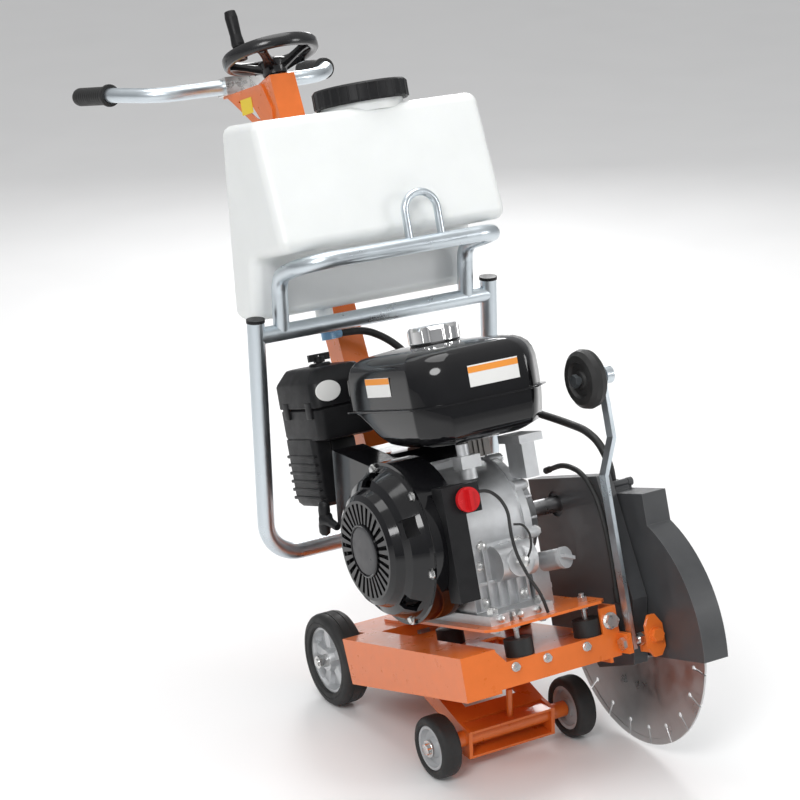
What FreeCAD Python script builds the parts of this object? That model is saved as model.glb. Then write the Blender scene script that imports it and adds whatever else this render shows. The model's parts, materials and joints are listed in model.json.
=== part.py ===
import FreeCAD, Part
import Sketcher
import math
import os

V = FreeCAD.Vector
Placement = FreeCAD.Placement
Rotation = FreeCAD.Rotation

doc = FreeCAD.newDocument("walk_behind_saw")

# ---------------------------------------------------------------- driving dimensions (millimetres, degrees)
DIMENSIONS = {
    "chassis_pitch": 16.7,
    "rear_wheel_dia": 149.0,
    "rear_wheel_width": 44.0,
    "rear_wheel_outer": 150.0,
    "rear_axle_dia": 20.0,
    "front_wheel_dia": 95.0,
    "front_wheel_width": 33.0,
    "front_wheel_outer": 136.0,
    "front_axle_dia": 16.0,
    "front_axle_forward": 280.0,
    "front_axle_drop": 112.19,
    "carrier_pivot_forward": 115.0,
    "carrier_pivot_drop": 12.0,
    "sheet_thick": 4.0,
    "chassis_right": 148.0,
    "chassis_left": 102.0,
    "chassis_front": 447.0,
    "chassis_rear": 78.0,
    "box_inner": 90.0,
    "box_top": 41.0,
    "tray_top": 19.0,
    "tube_dia": 27.0,
    "tube_wall": 2.5,
    "upright_half_gap": 208.0,
    "frame_lean": 16.7,
    "column_side": 45.0,
    "column_wall": 3.0,
    "column_lean": 10.3,
    "crank_height": 199.0,
    "crank_forward": 294.0,
    "plate_top": 70.0,
    "plate_thick": 4.0,
    "blade_dia": 354.0,
    "blade_thick": 2.4,
    "blade_side": 188.0,
    "blade_forward": 379.0,
    "blade_drop": 1.0,
    "arbor_dia": 25.4,
    "shaft_dia": 25.0,
    "guard_radius": 200.0,
    "guard_width": 42.0,
    "guide_wheel_dia": 88.0,
    "guide_wheel_width": 26.0,
    "handlebar_dia": 25.0,
    "handwheel_dia": 160.0,
    "screw_dia": 16.0,
    "mount_dia": 42.0,
    "mount_height": 25.0,
    "stud_dia": 8.0,
    "tank_flange_height": 392.0,
    "water_cap_dia": 147.0,
    "middle_behind_axle": -70.72,
}

sheet = doc.addObject("Spreadsheet::Sheet", "dims")
for row, (alias, value) in enumerate(DIMENSIONS.items(), 1):
    sheet.set(f"A{row}", alias)
    sheet.set(f"B{row}", str(value))
    sheet.setAlias(f"B{row}", alias)
doc.recompute()
D = DIMENSIONS

# Two frames: the ground frame (Z up, origin on the floor under the rear axle) and the chassis frame,
# which has its origin on the rear axle and is pitched nose-up. Forward is -Y, the blade side is +X.
# Finished sub-parts are moved along Y so that the origin is under the middle of the whole machine.
MIDDLE = Placement(V(0, D["middle_behind_axle"], 0), Rotation())
CHASSIS = Placement(V(0, 0, D["rear_wheel_dia"] / 2), Rotation(V(1, 0, 0), -D["chassis_pitch"]))
nodes = []


# ---------------------------------------------------------------- small helpers
def set_size(obj, prop, value):
    """Bind a property to a spreadsheet expression, or set a plain number."""
    if isinstance(value, str):
        obj.setExpression(prop, value)
    else:
        setattr(obj, prop, value)


def aim(direction):
    """Rotation that turns +Z into the given direction."""
    return Rotation(V(0, 0, 1), V(*direction))


def primitive(kind, at, turn, **sizes):
    """A Part primitive at a place, with its sizes bound to the sheet where they are strings."""
    obj = doc.addObject(kind, "solid")
    for prop, value in sizes.items():
        set_size(obj, prop, value)
    numbers = [0 if isinstance(c, str) else c for c in at]
    obj.Placement = Placement(V(*numbers), turn or Rotation())
    for axis, value in zip("xyz", at):
        if isinstance(value, str):
            obj.setExpression("Placement.Base." + axis, value)
    return obj


def box(at, size, turn=None):
    return primitive("Part::Box", at, turn, Length=size[0], Width=size[1], Height=size[2])


def rod(at, direction, radius, length):
    """A solid cylinder from a point along a direction."""
    return primitive("Part::Cylinder", at, aim(direction), Radius=radius, Height=length)


def cone(at, direction, radius1, radius2, length):
    return primitive("Part::Cone", at, aim(direction), Radius1=radius1, Radius2=radius2, Height=length)


def prism(at, direction, sides, radius, length):
    return primitive("Part::Prism", at, aim(direction), Polygon=sides, Circumradius=radius, Height=length)


def ring(at, direction, major, minor):
    return primitive("Part::Torus", at, aim(direction), Radius1=major, Radius2=minor)


def raw(shape):
    """A helper feature holding a shape made with Part's own functions."""
    obj = doc.addObject("Part::Feature", "shape")
    obj.Shape = shape
    return obj


def join(parts):
    if len(parts) == 1:
        return parts[0]
    obj = doc.addObject("Part::MultiFuse", "joined")
    obj.Shapes = parts
    obj.Refine = True
    return obj


def cut(base, tools):
    obj = doc.addObject("Part::Cut", "cut")
    obj.Base = base
    obj.Tool = join(tools)
    obj.Refine = True
    return obj


def several(parts):
    """Separate solids that share one node, such as identical bolts."""
    obj = doc.addObject("Part::Compound", "group")
    obj.Links = parts
    return obj


def node(name, obj, frame=CHASSIS):
    """Name a finished sub-part and put it in its frame."""
    obj.Label = name
    obj.Placement = MIDDLE.multiply(frame).multiply(obj.Placement)
    nodes.append(obj)
    return obj


def unit(a, b):
    d = b - a
    return d.multiply(1.0 / d.Length)


def bent_path(points, radii):
    """A wire of straight runs joined by tangent arcs; radii has one value for each inner point."""
    points = [V(*p) for p in points]
    edges = []
    start = points[0]
    for i in range(1, len(points) - 1):
        back = unit(points[i], points[i - 1])
        ahead = unit(points[i], points[i + 1])
        half = back.getAngle(ahead) / 2
        reach = radii[i - 1] / math.tan(half)
        a = points[i] + back * reach
        b = points[i] + ahead * reach
        middle_line = (back + ahead).normalize()
        mid = points[i] + middle_line * (radii[i - 1] / math.sin(half) - radii[i - 1])
        edges.append(Part.LineSegment(start, a).toShape())
        edges.append(Part.Arc(a, mid, b).toShape())
        start = b
    edges.append(Part.LineSegment(start, points[-1]).toShape())
    return Part.Wire(edges)


def cord_radii(points):
    """Bend radii as large as the runs of a hose or wire allow."""
    points = [V(*p) for p in points]
    radii = []
    for i in range(1, len(points) - 1):
        before = points[i] - points[i - 1]
        after = points[i + 1] - points[i]
        turn = before.getAngle(after)
        radii.append(0.45 * min(before.Length, after.Length) / math.tan(turn / 2))
    return radii


def sweep_round(points, radii, diameter):
    """A round bar along a bent path."""
    path = bent_path(points, radii)
    first = V(*points[0])
    circle = Part.Circle(first, unit(first, V(*points[1])), diameter / 2)
    return path.makePipeShell([Part.Wire([circle.toShape()])], True, False)


def tube(points, radii, outer, wall):
    """A bent tube with an open bore."""
    return sweep_round(points, radii, outer).cut(sweep_round(points, radii, outer - 2 * wall))


def cord(points, diameter, label):
    radii = cord_radii(points)
    shape = sweep_round(points, radii, diameter)
    length = bent_path(points, radii).Length
    section = math.pi * diameter ** 2 / 4
    print(label, "radii", [round(r, 1) for r in radii], "length", round(length, 1),
          "volume ratio", round(shape.Volume / (section * length), 3))
    return shape


# ---------------------------------------------------------------- PartDesign helpers
def new_body(name):
    body = doc.addObject("PartDesign::Body", name)
    return body


def sketch_on(body, role, offset=0):
    """A sketch on one of the body's own origin planes."""
    plane = [f for f in body.Origin.OriginFeatures if f.Role == role][0]
    sketch = body.newObject("Sketcher::SketchObject", "outline")
    sketch.AttachmentSupport = [(plane, "")]
    sketch.MapMode = "FlatFace"
    if isinstance(offset, str):
        sketch.setExpression("AttachmentOffset.Base.z", offset)
    else:
        sketch.AttachmentOffset = Placement(V(0, 0, offset), Rotation())
    return sketch


def draw_polygon(sketch, points):
    count = len(points)
    for i in range(count):
        a = V(*points[i], 0)
        b = V(*points[(i + 1) % count], 0)
        sketch.addGeometry(Part.LineSegment(a, b), False)


def draw_circle(sketch, x, y, radius):
    """A circle whose radius is a named constraint, bound to the sheet where it is a string."""
    number = 1.0 if isinstance(radius, str) else radius
    index = sketch.addGeometry(Part.Circle(V(x, y, 0), V(0, 0, 1), number), False)
    constraint = sketch.addConstraint(Sketcher.Constraint("Radius", index, number))
    if isinstance(radius, str):
        sketch.setExpression(f"Constraints[{constraint}]", radius)


def pad(body, sketch, length, symmetric=False):
    feature = body.newObject("PartDesign::Pad", "pad")
    feature.Profile = sketch
    set_size(feature, "Length", length)
    feature.Midplane = symmetric
    return feature


def pocket(body, sketch, length, symmetric=False, reverse=False):
    feature = body.newObject("PartDesign::Pocket", "pocket")
    feature.Profile = sketch
    set_size(feature, "Length", length)
    feature.Midplane = symmetric
    feature.Reversed = reverse
    return feature


def revolve(body, points, kind="PartDesign::Revolution"):
    """Turn a profile of (radius, height) points about the body's Z axis."""
    sketch = sketch_on(body, "XZ_Plane")
    draw_polygon(sketch, points)
    feature = body.newObject(kind, "turned")
    feature.Profile = sketch
    feature.ReferenceAxis = (sketch, ["V_Axis"])
    feature.Angle = 360
    return feature


def polar(body, feature, count):
    """Repeat a feature about the body's Z axis."""
    axis = [f for f in body.Origin.OriginFeatures if f.Role == "Z_Axis"][0]
    pattern = body.newObject("PartDesign::PolarPattern", "ring_pattern")
    pattern.Originals = [feature]
    pattern.Axis = (axis, [""])
    pattern.Angle = 360
    pattern.Occurrences = count
    body.Tip = pattern
    return pattern


def checked(body, before, what):
    """Make sure a cutting feature really removed material."""
    doc.recompute()
    assert body.Shape.Volume < before - 1, what
    return body.Shape.Volume


def along_x(x, y, z, flip=False):
    """Placement of a turned body whose Z axis points to +X (or -X)."""
    return Placement(V(x, y, z), Rotation(V(0, 1, 0), -90 if flip else 90))


def plate_x(x0, thick, outline):
    """A flat plate of (y, z) outline, padded from x0 towards +X."""
    body = new_body("plate")
    sketch = sketch_on(body, "YZ_Plane", x0)
    draw_polygon(sketch, outline)
    pad(body, sketch, thick)
    return body


def plate_z(z0, thick, outline):
    """A flat plate of (x, y) outline, padded up from z0."""
    body = new_body("plate")
    sketch = sketch_on(body, "XY_Plane", z0)
    draw_polygon(sketch, outline)
    pad(body, sketch, thick)
    return body


# ---------------------------------------------------------------- chassis
T = D["sheet_thick"]
FRONT = -D["chassis_front"]
REAR = -D["chassis_rear"]
RIGHT = -D["chassis_right"]
LEFT = D["chassis_left"]
INNER = -D["box_inner"]
TOP = D["box_top"]
TRAY = D["tray_top"]
PIVOT = (-D["carrier_pivot_forward"], -D["carrier_pivot_drop"])
BLADE = (-D["blade_forward"], -D["blade_drop"])
CRANK = (-D["crank_forward"], D["crank_height"])
LENGTH = FRONT - REAR
MOUNTS = [(-38, -425), (80, -425), (-38, -225), (80, -225)]


def column_y(z):
    """Centre line of the leaning column at a height above the rear axle."""
    return -53 + (z - TOP) * math.tan(math.radians(D["column_lean"]))


def frame_y(z):
    """Plane of the lift frame, which stands upright while the chassis is pitched."""
    return 12 - (z - 180) * math.tan(math.radians(D["frame_lean"]))


COLUMN_AXIS = (0, math.sin(math.radians(D["column_lean"])), math.cos(math.radians(D["column_lean"])))


def chassis_frame():
    side = plate_x(RIGHT, "dims.sheet_thick", [(REAR, TOP), (FRONT, TOP), (FRONT, -23), (REAR - 8, -30)])
    parts = [
        side,
        box((RIGHT, FRONT, TOP - T), (-RIGHT + INNER, -LENGTH, "dims.sheet_thick")),
        box((RIGHT, FRONT, -23), (-RIGHT + INNER, "dims.sheet_thick", TOP + 23)),
        box((INNER - T, FRONT, -18), ("dims.sheet_thick", -LENGTH, TOP + 18)),
        box((INNER - T, FRONT, TRAY - T), (LEFT - INNER + T, -LENGTH, "dims.sheet_thick")),
        box((INNER - T, FRONT, -18), (LEFT - INNER + T + 16, "dims.sheet_thick", TRAY + 18)),
        box((LEFT - T, FRONT, -25), ("dims.sheet_thick", -LENGTH, TRAY + 25)),
        box((LEFT - 10, FRONT, TRAY - T), (28, "dims.sheet_thick", 42)),
        box((LEFT + 14, FRONT, TRAY - T), ("dims.sheet_thick", 40, 42)),
    ]
    # rear section between the wheels, which holds the axle and the column
    rear_outline = [(REAR - 6, 38), (40, 38), (40, -6), (14, -26), (-14, -26), (REAR - 6, -25)]
    parts.append(plate_x(-100, "dims.sheet_thick", rear_outline))
    parts.append(plate_x(96, "dims.sheet_thick", rear_outline))
    parts.append(box((-100, REAR - 6, 34), (200, 46 - REAR, "dims.sheet_thick")))
    parts.append(box((-100, 36, -6), (200, "dims.sheet_thick", 44)))
    parts.append(box((-100, REAR - 6, -20), (200, "dims.sheet_thick", 58)))
    # slanted gusset at the inner end of the front lip
    gusset = new_body("gusset")
    sketch = sketch_on(gusset, "XZ_Plane", -(FRONT + T))
    draw_polygon(sketch, [(INNER - 2, -18), (INNER - 2, TOP - 1), (-62, 3), (-74, -18)])
    pad(gusset, sketch, "dims.sheet_thick")
    parts.append(gusset)
    # tab that carries the guide arm
    parts.append(box((LEFT + 14, FRONT - 24, -14), (8, 28, 30)))
    # bosses for the carrier pivot and the rear axle
    parts.append(rod((INNER - T, *PIVOT), (1, 0, 0), 16, 12))
    parts.append(rod((LEFT - 12, *PIVOT), (1, 0, 0), 16, 12))
    parts.append(rod((-100, 0, 0), (1, 0, 0), 18, 14))
    parts.append(rod((86, 0, 0), (1, 0, 0), 18, 14))
    tools = [
        rod((RIGHT - 5, 0, 0), (1, 0, 0), "dims.rear_axle_dia / 2 + 0.05", 310),
        rod((INNER - 20, *PIVOT), (1, 0, 0), 8.05, 230),
        box((-20, REAR - 12, -30), (40, 18, 55)),
        box((-23, -92, 33), (46, 70, 6)),
        box((-10, -330, TRAY - 6), (30, 70, 8)),
        box((INNER - 10, -335, -30), (16, 75, 32)),
        box((LEFT - 16, -335, -30), (20, 75, 32)),
        rod((LEFT + 10, FRONT - 14, 1), (1, 0, 0), 6.05, 20),
        rod((LEFT - 20, *BLADE), (1, 0, 0), 21, 30),
    ]
    tools += [rod((x, y, TRAY - 8), (0, 0, 1), 4.3, 12) for x, y in MOUNTS]
    return node("chassis_frame", cut(join(parts), tools))


def rear_axle():
    half = D["rear_wheel_outer"]
    shaft = rod((-half - 2, 0, 0), (1, 0, 0), "dims.rear_axle_dia / 2", 2 * half + 4)
    ends = rod((-half - 14, 0, 0), (1, 0, 0), 6, 2 * half + 28)
    return node("rear_axle", join([shaft, ends]))


def wheel(name, outer, width, rim, bore, pockets, placement):
    """A wheel turned about Z, with its outer face at +Z: rubber band, cast rim and a hub."""
    body = new_body(name)
    r, w = outer / 2, width / 2
    revolve(body, [
        (bore, -w + 2), (bore + 9, -w + 2), (bore + 11, -5), (rim - 9, -5), (rim - 5, -w + 3), (rim, -w + 1),
        (r - 7, -w), (r - 2, -w + 3), (r, -w + 9), (r, w - 9), (r - 2, w - 3), (r - 7, w),
        (rim, w - 1), (rim - 5, w - 3), (rim - 9, 5), (bore + 11, 5), (bore + 9, w - 2), (bore, w - 2)])
    if pockets:
        doc.recompute()
        before = body.Shape.Volume
        sketch = sketch_on(body, "XY_Plane")
        inner, outer_r = bore + 14, rim - 11
        half_angle = math.pi / pockets * 0.62
        narrow = half_angle * 0.55
        draw_polygon(sketch, [
            (inner * math.cos(-narrow), inner * math.sin(-narrow)),
            (outer_r * math.cos(-half_angle), outer_r * math.sin(-half_angle)),
            (outer_r + 1, 0),
            (outer_r * math.cos(half_angle), outer_r * math.sin(half_angle)),
            (inner * math.cos(narrow), inner * math.sin(narrow))])
        hole = pocket(body, sketch, 30, symmetric=True)
        polar(body, hole, pockets)
        checked(body, before, name)
    return node(name, body, placement)


def wheels():
    rear = dict(outer=D["rear_wheel_dia"], width=D["rear_wheel_width"], rim=60, pockets=5,
                bore=D["rear_axle_dia"] / 2 + 0.05)
    front = dict(outer=D["front_wheel_dia"], width=D["front_wheel_width"], rim=36.7, pockets=0,
                 bore=D["front_axle_dia"] / 2 + 0.05)
    x = D["rear_wheel_outer"] - D["rear_wheel_width"] / 2
    wheel("rear_wheel_right", placement=CHASSIS.multiply(along_x(-x, 0, 0, True)), **rear)
    wheel("rear_wheel_left", placement=CHASSIS.multiply(along_x(x, 0, 0)), **rear)
    x = D["front_wheel_outer"] - D["front_wheel_width"] / 2
    y, z = -D["front_axle_forward"], -D["front_axle_drop"]
    wheel("front_wheel_right", placement=CHASSIS.multiply(along_x(-x, y, z, True)), **front)
    wheel("front_wheel_left", placement=CHASSIS.multiply(along_x(x, y, z)), **front)


def to_ground(y, z):
    """A chassis-frame point seen in the level ground frame, for the parts that stand level at rest."""
    p = CHASSIS.multVec(V(0, y, z))
    return p.y, p.z


def front_carrier():
    """The swinging front carrier, built level with the ground, with its depth lever and stop rod."""
    py, pz = to_ground(*PIVOT)
    ay, az = to_ground(-D["front_axle_forward"], -D["front_axle_drop"])
    ny, nz = to_ground(column_y(-14), -14)
    arm = [(py + 14, pz), (py + 6, pz + 16), (py - 12, pz + 16), (-288, 68), (-318, 64), (-318, 20),
           (-286, 20), (-270, 48), (py - 20, pz - 15), (py + 6, pz - 14)]
    slope = math.degrees(math.atan2((pz + 16) - 68, (py - 12) + 288))
    parts = [plate_x(70, 6, arm), plate_x(-76, 6, arm)]
    top_length = math.hypot(py - 12 + 288, pz + 16 - 68)
    parts.append(box((-74, -288, 64), (148, top_length, 4), Rotation(V(1, 0, 0), slope)))
    parts.append(box((-74, -318, 60), (148, 34, 4)))
    parts.append(box((-74, -318, 20), (148, 34, 4)))
    parts.append(box((-74, -288, 20), (148, 4, 44)))
    parts.append(rod((-104.5, ay, az), (1, 0, 0), 12, 209))
    parts.append(rod((-80, py, pz), (1, 0, 0), 12, 160))
    parts.append(rod((5, -302, 62), (0, 0, 1), 5, 46))
    lever = math.hypot(ny - py, nz - pz)
    tilt = math.degrees(math.atan2(nz - pz, ny - py))
    for x in (-17, 11):
        turn = Rotation(V(1, 0, 0), tilt)
        corner = V(x, py, pz) + turn.multVec(V(0, 0, -11))
        parts.append(box(tuple(corner), (6, lever + 12, 22), turn))
    half = D["front_wheel_outer"]
    parts.append(rod((-half - 1, ay, az), (1, 0, 0), "dims.front_axle_dia / 2", 2 * half + 2))
    parts += [prism((x, ay, az), (1, 0, 0), 6, 9, 6) for x in (-half - 6, half)]
    tools = [
        rod((-90, py, pz), (1, 0, 0), 8.1, 180),
        box((-48, -262, 60), (92, 96, 60)),
    ]
    direction = V(0, ny - py, nz - pz).normalize()
    for offset in (-3, 0, 3):
        centre = V(-30, ny, nz) + direction * offset
        tools.append(rod(tuple(centre), (1, 0, 0), 5.7, 60))
    return node("front_carrier", cut(join(parts), tools), Placement())


def carrier_pivot_shaft():
    pin = rod((INNER - 6, *PIVOT), (1, 0, 0), 8, LEFT - INNER + 8)
    return node("carrier_pivot_shaft", pin)


# ---------------------------------------------------------------- column, depth screw and handlebar
HANDLEBAR = [(0, 249, 939), (150, 249, 939), (202, 316, 956), (216, 435, 972)]
WHEEL_BASE = 933


def on_column(z, side=0.0):
    """A point on the column's centre line, or to the rear of it by `side`."""
    lean = math.radians(D["column_lean"])
    return V(0, column_y(z) + side * math.cos(lean), z - side * math.sin(lean))


def column():
    lean = Rotation(V(1, 0, 0), -D["column_lean"])
    half = D["column_side"] / 2
    inner = half - D["column_wall"]
    start, length = 40, 905

    def post(half_side, grow, run):
        base = on_column(start) + lean.multVec(V(-half_side, -half_side, -grow))
        return box(tuple(base), (2 * half_side, 2 * half_side, run), lean)

    outer = post(half, 0, length)
    foot = box((-40, -92, 38), (80, 76, 5))
    saddle = box((-34, -10, 160), (68, 8.3, 40))
    bracket_outline = [(92, 880), (100, 842), (150, 853), (240, 912), (262, 925), (240, 925), (118, 925)]
    plates = [plate_x(x, 4, bracket_outline) for x in (-26, 22)]
    rest = box((-26, 226, 921), (52, 44, 4))
    slots = [plate_x(x, 8, [(138, 866), (160, 874), (215, 909), (175, 909)]) for x in (-28, 20)]
    body = cut(join([outer, foot, saddle, rest] + plates), [post(inner, 10, length + 20)] + slots)
    return node("column", body)


def lead_screw():
    base = on_column(-6)
    shaft = rod(tuple(base), COLUMN_AXIS, "dims.screw_dia / 2", 983)
    collar = rod(tuple(on_column(898)), COLUMN_AXIS, 18, 20)
    return node("lead_screw", join([shaft, collar]))


def lead_nut():
    """Square nut that slides in the column and carries the cross pin of the carrier lever."""
    lean = Rotation(V(1, 0, 0), -D["column_lean"])
    base = on_column(-14)
    corner = base + lean.multVec(V(-9, -14, -10))
    block = box(tuple(corner), (18, 28, 60), lean)
    pin = rod((-18, base.y, base.z), (1, 0, 0), 5, 36)
    bore = rod(tuple(on_column(-60)), COLUMN_AXIS, "dims.screw_dia / 2 + 0.1", 140)
    upper = cut(join([block, pin]), [bore])
    return node("lead_nut", upper)


def handwheel():
    """Dished hand wheel on top of the screw, with five spokes and a boss for the crank grip."""
    body = new_body("hub")
    r = D["handwheel_dia"] / 2
    bore = D["screw_dia"] / 2 + 0.02
    revolve(body, [(bore, 0), (20, 0), (24, 8), (24, 24), (bore, 30)])
    rim = ring((0, 0, 38), (0, 0, 1), r - 11, 11)
    spokes = []
    for i in range(5):
        angle = 2 * math.pi * i / 5 + 0.3
        tip = V((r - 12) * math.cos(angle), (r - 12) * math.sin(angle), 36)
        foot = V(18 * math.cos(angle), 18 * math.sin(angle), 13)
        spokes.append(rod(tuple(foot), tuple(tip - foot), 6.5, (tip - foot).Length))
    boss = rod((-62, -20, 30), (0, 0, 1), 9, 20)
    bore_tool = rod((0, 0, -5), (0, 0, 1), bore, 60)
    grip_hole = rod((-62, -20, 26), (0, 0, 1), 4.1, 30)
    wheel_body = cut(join([body, rim, boss] + spokes), [bore_tool, grip_hole])
    top = on_column(WHEEL_BASE)
    return node("handwheel", wheel_body, CHASSIS.multiply(Placement(top, aim(COLUMN_AXIS))))


def crank_grip():
    body = new_body("crank_grip")
    revolve(body, [(0, -20), (4, -20), (4, 0.4), (10, 0.4), (11, 5), (9.5, 20), (10.5, 50), (9, 60), (0, 62)])
    top = on_column(WHEEL_BASE)
    local = Placement(top, aim(COLUMN_AXIS)).multiply(Placement(V(-62, -20, 50), Rotation()))
    return node("crank_grip", body, CHASSIS.multiply(local))


def mirrored(points):
    """A left-right symmetric route from its right half."""
    return [(-x, y, z) for x, y, z in reversed(points[1:])] + points[1:]


def handlebar():
    shape = tube(mirrored(HANDLEBAR), [70, 75, 75, 70], D["handlebar_dia"], 2.5)
    return node("handlebar", raw(shape))


def handlebar_clamp():
    """Saddle and cap around the bar, with the four clamp screws."""
    y, z = HANDLEBAR[0][1:]
    block = box((-36, y - 20, z - 13.9), (72, 40, 29))
    bore = rod((-40, y, z), (1, 0, 0), 12.5, 80)
    split = box((-40, y, z - 1), (80, 25, 2))
    body = cut(block, [bore, split])
    return node("handlebar_clamp", body)


def handle_grips():
    parts = []
    for side in (-1, 1):
        a = V(side * HANDLEBAR[2][0], *HANDLEBAR[2][1:])
        b = V(side * HANDLEBAR[3][0], *HANDLEBAR[3][1:])
        axis = unit(a, b)
        end = b + axis * 4
        start = end - axis * 112
        sleeve = cut(
            join([rod(tuple(start), tuple(axis), 15.5, 112), rod(tuple(start), tuple(axis), 19, 6)]),
            [rod(tuple(start - axis * 2), tuple(axis), 12.5, 110)])
        parts.append(sleeve)
    return node("handle_grips", several(parts))


# ---------------------------------------------------------------- lift frame
def lift_frame():
    half = D["upright_half_gap"]
    d, wall = D["tube_dia"], D["tube_wall"]
    top_z = 549
    hoop = [(158, -232, 623), (172, -232, 623), (165, -118, 612), (165, frame_y(527), 527)]
    loop = [(-half, frame_y(top_z), top_z), (-half, frame_y(180), 180),
            (half, frame_y(180), 180), (half, frame_y(top_z), top_z)]
    main = sweep_round(loop, [58, 58], d)
    cross = Part.makeCylinder(d / 2 - 0.5, 2 * half, V(-half, frame_y(527), 527), V(1, 0, 0))
    upper = sweep_round(mirrored(hoop), [38, 45, 45, 38], d - 2)
    eye = sweep_round([(6, -232, 628), (6, -232, 701), (62, -232, 701), (62, -232, 628)], [27.5, 27.5], 12)
    core = sweep_round(loop, [58, 58], d - 2 * wall)
    shape = main.fuse([cross, upper, eye]).cut(core).removeSplitter()
    return node("lift_frame", raw(shape))


def tube_end_caps():
    parts = []
    axis = V(0, -math.tan(math.radians(D["frame_lean"])), 1).normalize()
    for side in (-1, 1):
        top = V(side * D["upright_half_gap"], frame_y(549), 549)
        plug = rod(tuple(top - axis * 12), tuple(axis), 10.9, 13)
        lid = rod(tuple(top + axis * 0.2), tuple(axis), 14.5, 5)
        parts.append(join([plug, lid]))
    return node("tube_end_caps", several(parts))


# ---------------------------------------------------------------- water system
def water_tank():
    """Blow-moulded tank that rests on the hoop, hollow, with a wide filler neck."""
    outer = [(-72, 548), (6, 556), (-64, 850), (-186, 842), (-216, 641), (-98, 641)]
    centre = (-112, 700)

    def shell(inset, half, radius):
        body = new_body("tank")
        sketch = sketch_on(body, "YZ_Plane", 0)
        points = []
        for y, z in outer:
            away = math.hypot(y - centre[0], z - centre[1])
            k = 1 - inset / away * 1.3
            points.append((centre[0] + (y - centre[0]) * k, centre[1] + (z - centre[1]) * k))
        draw_polygon(sketch, points)
        pad(body, sketch, 2 * half, symmetric=True)
        doc.recompute()
        block = body.Tip
        fillet = body.newObject("PartDesign::Fillet", "rounding")
        fillet.Base = (block, [f"Edge{i + 1}" for i in range(len(block.Shape.Edges))])
        fillet.Radius = radius
        doc.recompute()
        return body

    skin = shell(0, 196, 17)
    hollow = shell(5, 192, 14)
    cap = (22, -126)
    neck = rod((*cap, 836), (0, 0, 1), 64, 28)
    mouth = rod((*cap, 828), (0, 0, 1), 59, 40)
    outlet = rod((-60, -36, 534), (0, 0, 1), 14, 26)
    outlet_bore = rod((-60, -36, 530), (0, 0, 1), 9, 34)
    return node("water_tank", cut(join([skin, neck, outlet]), [hollow, mouth, outlet_bore]))


def water_tank_lid():
    body = new_body("lid")
    r = D["water_cap_dia"] / 2
    revolve(body, [(0, 25), (64.8, 25), (64.8, 1), (r - 2, 0), (r, 4), (r, 27), (r - 3, 30), (0, 32)])
    ribs = []
    for i in range(30):
        angle = 2 * math.pi * i / 30
        ribs.append(rod(((r - 0.6) * math.cos(angle), (r - 0.6) * math.sin(angle), 2), (0, 0, 1), 1.8, 24))
    place = CHASSIS.multiply(Placement(V(22, -126, 850), Rotation()))
    return node("water_tank_lid", join([body] + ribs), place)


def water_valve():
    body = join([rod((-60, -36, 512), (0, 0, 1), 17, 22), rod((-60, -36, 500), (0, 0, 1), 11, 14),
                 rod((-60, -36, 520), (0, -1, 0), 9, 24), rod((-60, -36, 507), (1, 0, 0), 7, 21.8)])
    bore = rod((-60, -36, 498), (0, 0, 1), 6, 40)
    stem_hole = rod((-60, -52, 520), (0, -1, 0), 4.05, 12)
    return node("water_valve", cut(body, [bore, stem_hole]))


def valve_lever():
    stem = rod((-60, -53, 520), (0, -1, 0), 4, 12)
    boss = rod((-60, -60.4, 520), (0, -1, 0), 9, 6)
    arm = box((-98, -66.4, 514), (38, 5, 12))
    return node("valve_lever", join([stem, boss, arm]))


HOSE_MAIN = [(-38, -36, 507), (6, -36, 505), (44, -40, 482), (74, -48, 446), (98, -62, 414), (120, -90, 390),
             (140, -128, 370), (160, -172, 352), (176, -222, 336), (187, -276, 320), (190, -336.8, 304),
             (190, -369.2, 285.2), (190, -388, 252.8), (190, -388, 215.2)]
HOSE_SPRAY = [(137, -300, 253), (137, -345, 262), (137, -392, 250), (137, -420, 214), (137, -430, 168),
              (137, -432, 120), (137, -430, 76)]


def water_hoses():
    """The supply hose from the valve to the guard, and the thin spray line with its nozzle."""
    main = raw(cord(HOSE_MAIN, 12, "main hose"))
    line = cord(HOSE_SPRAY, 8, "spray line")
    tee = rod((137, -292, 251.4), (0, -1, 0.2), 5, 12)
    nozzle = rod((137, -430, 78), (0, 0, -1), 5.2, 22)
    return node("water_hoses", several([main, join([raw(line), tee, nozzle])]))


# ---------------------------------------------------------------- engine
CY, CZ = CRANK
PLATE = D["plate_top"]


def engine_plate():
    outline = [(-98, -440), (-84, -456), (92, -456), (104, -444), (104, -400), (92, -380), (92, -196), (-98, -196)]
    base = plate_z(PLATE - D["plate_thick"], "dims.plate_thick", outline)
    holes = [rod((x, y, PLATE - 10), (0, 0, 1), 4.2, 20) for x, y in MOUNTS]
    holes += [rod((x, y, PLATE - 10), (0, 0, 1), 5.1, 20) for x, y in ENGINE_BOLTS]
    return node("engine_plate", cut(base, holes))


ENGINE_BOLTS = [(-66, -416), (14, -416), (-66, -222), (14, -222)]


def rubber_mounts():
    parts = []
    for x, y in MOUNTS:
        barrel = rod((x, y, TRAY), (0, 0, 1), "dims.mount_dia / 2", "dims.mount_height")
        hole = rod((x, y, TRAY - 1), (0, 0, 1), 4, 40)
        parts.append(cut(barrel, [hole]))
    return node("rubber_mounts", several(parts))


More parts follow.
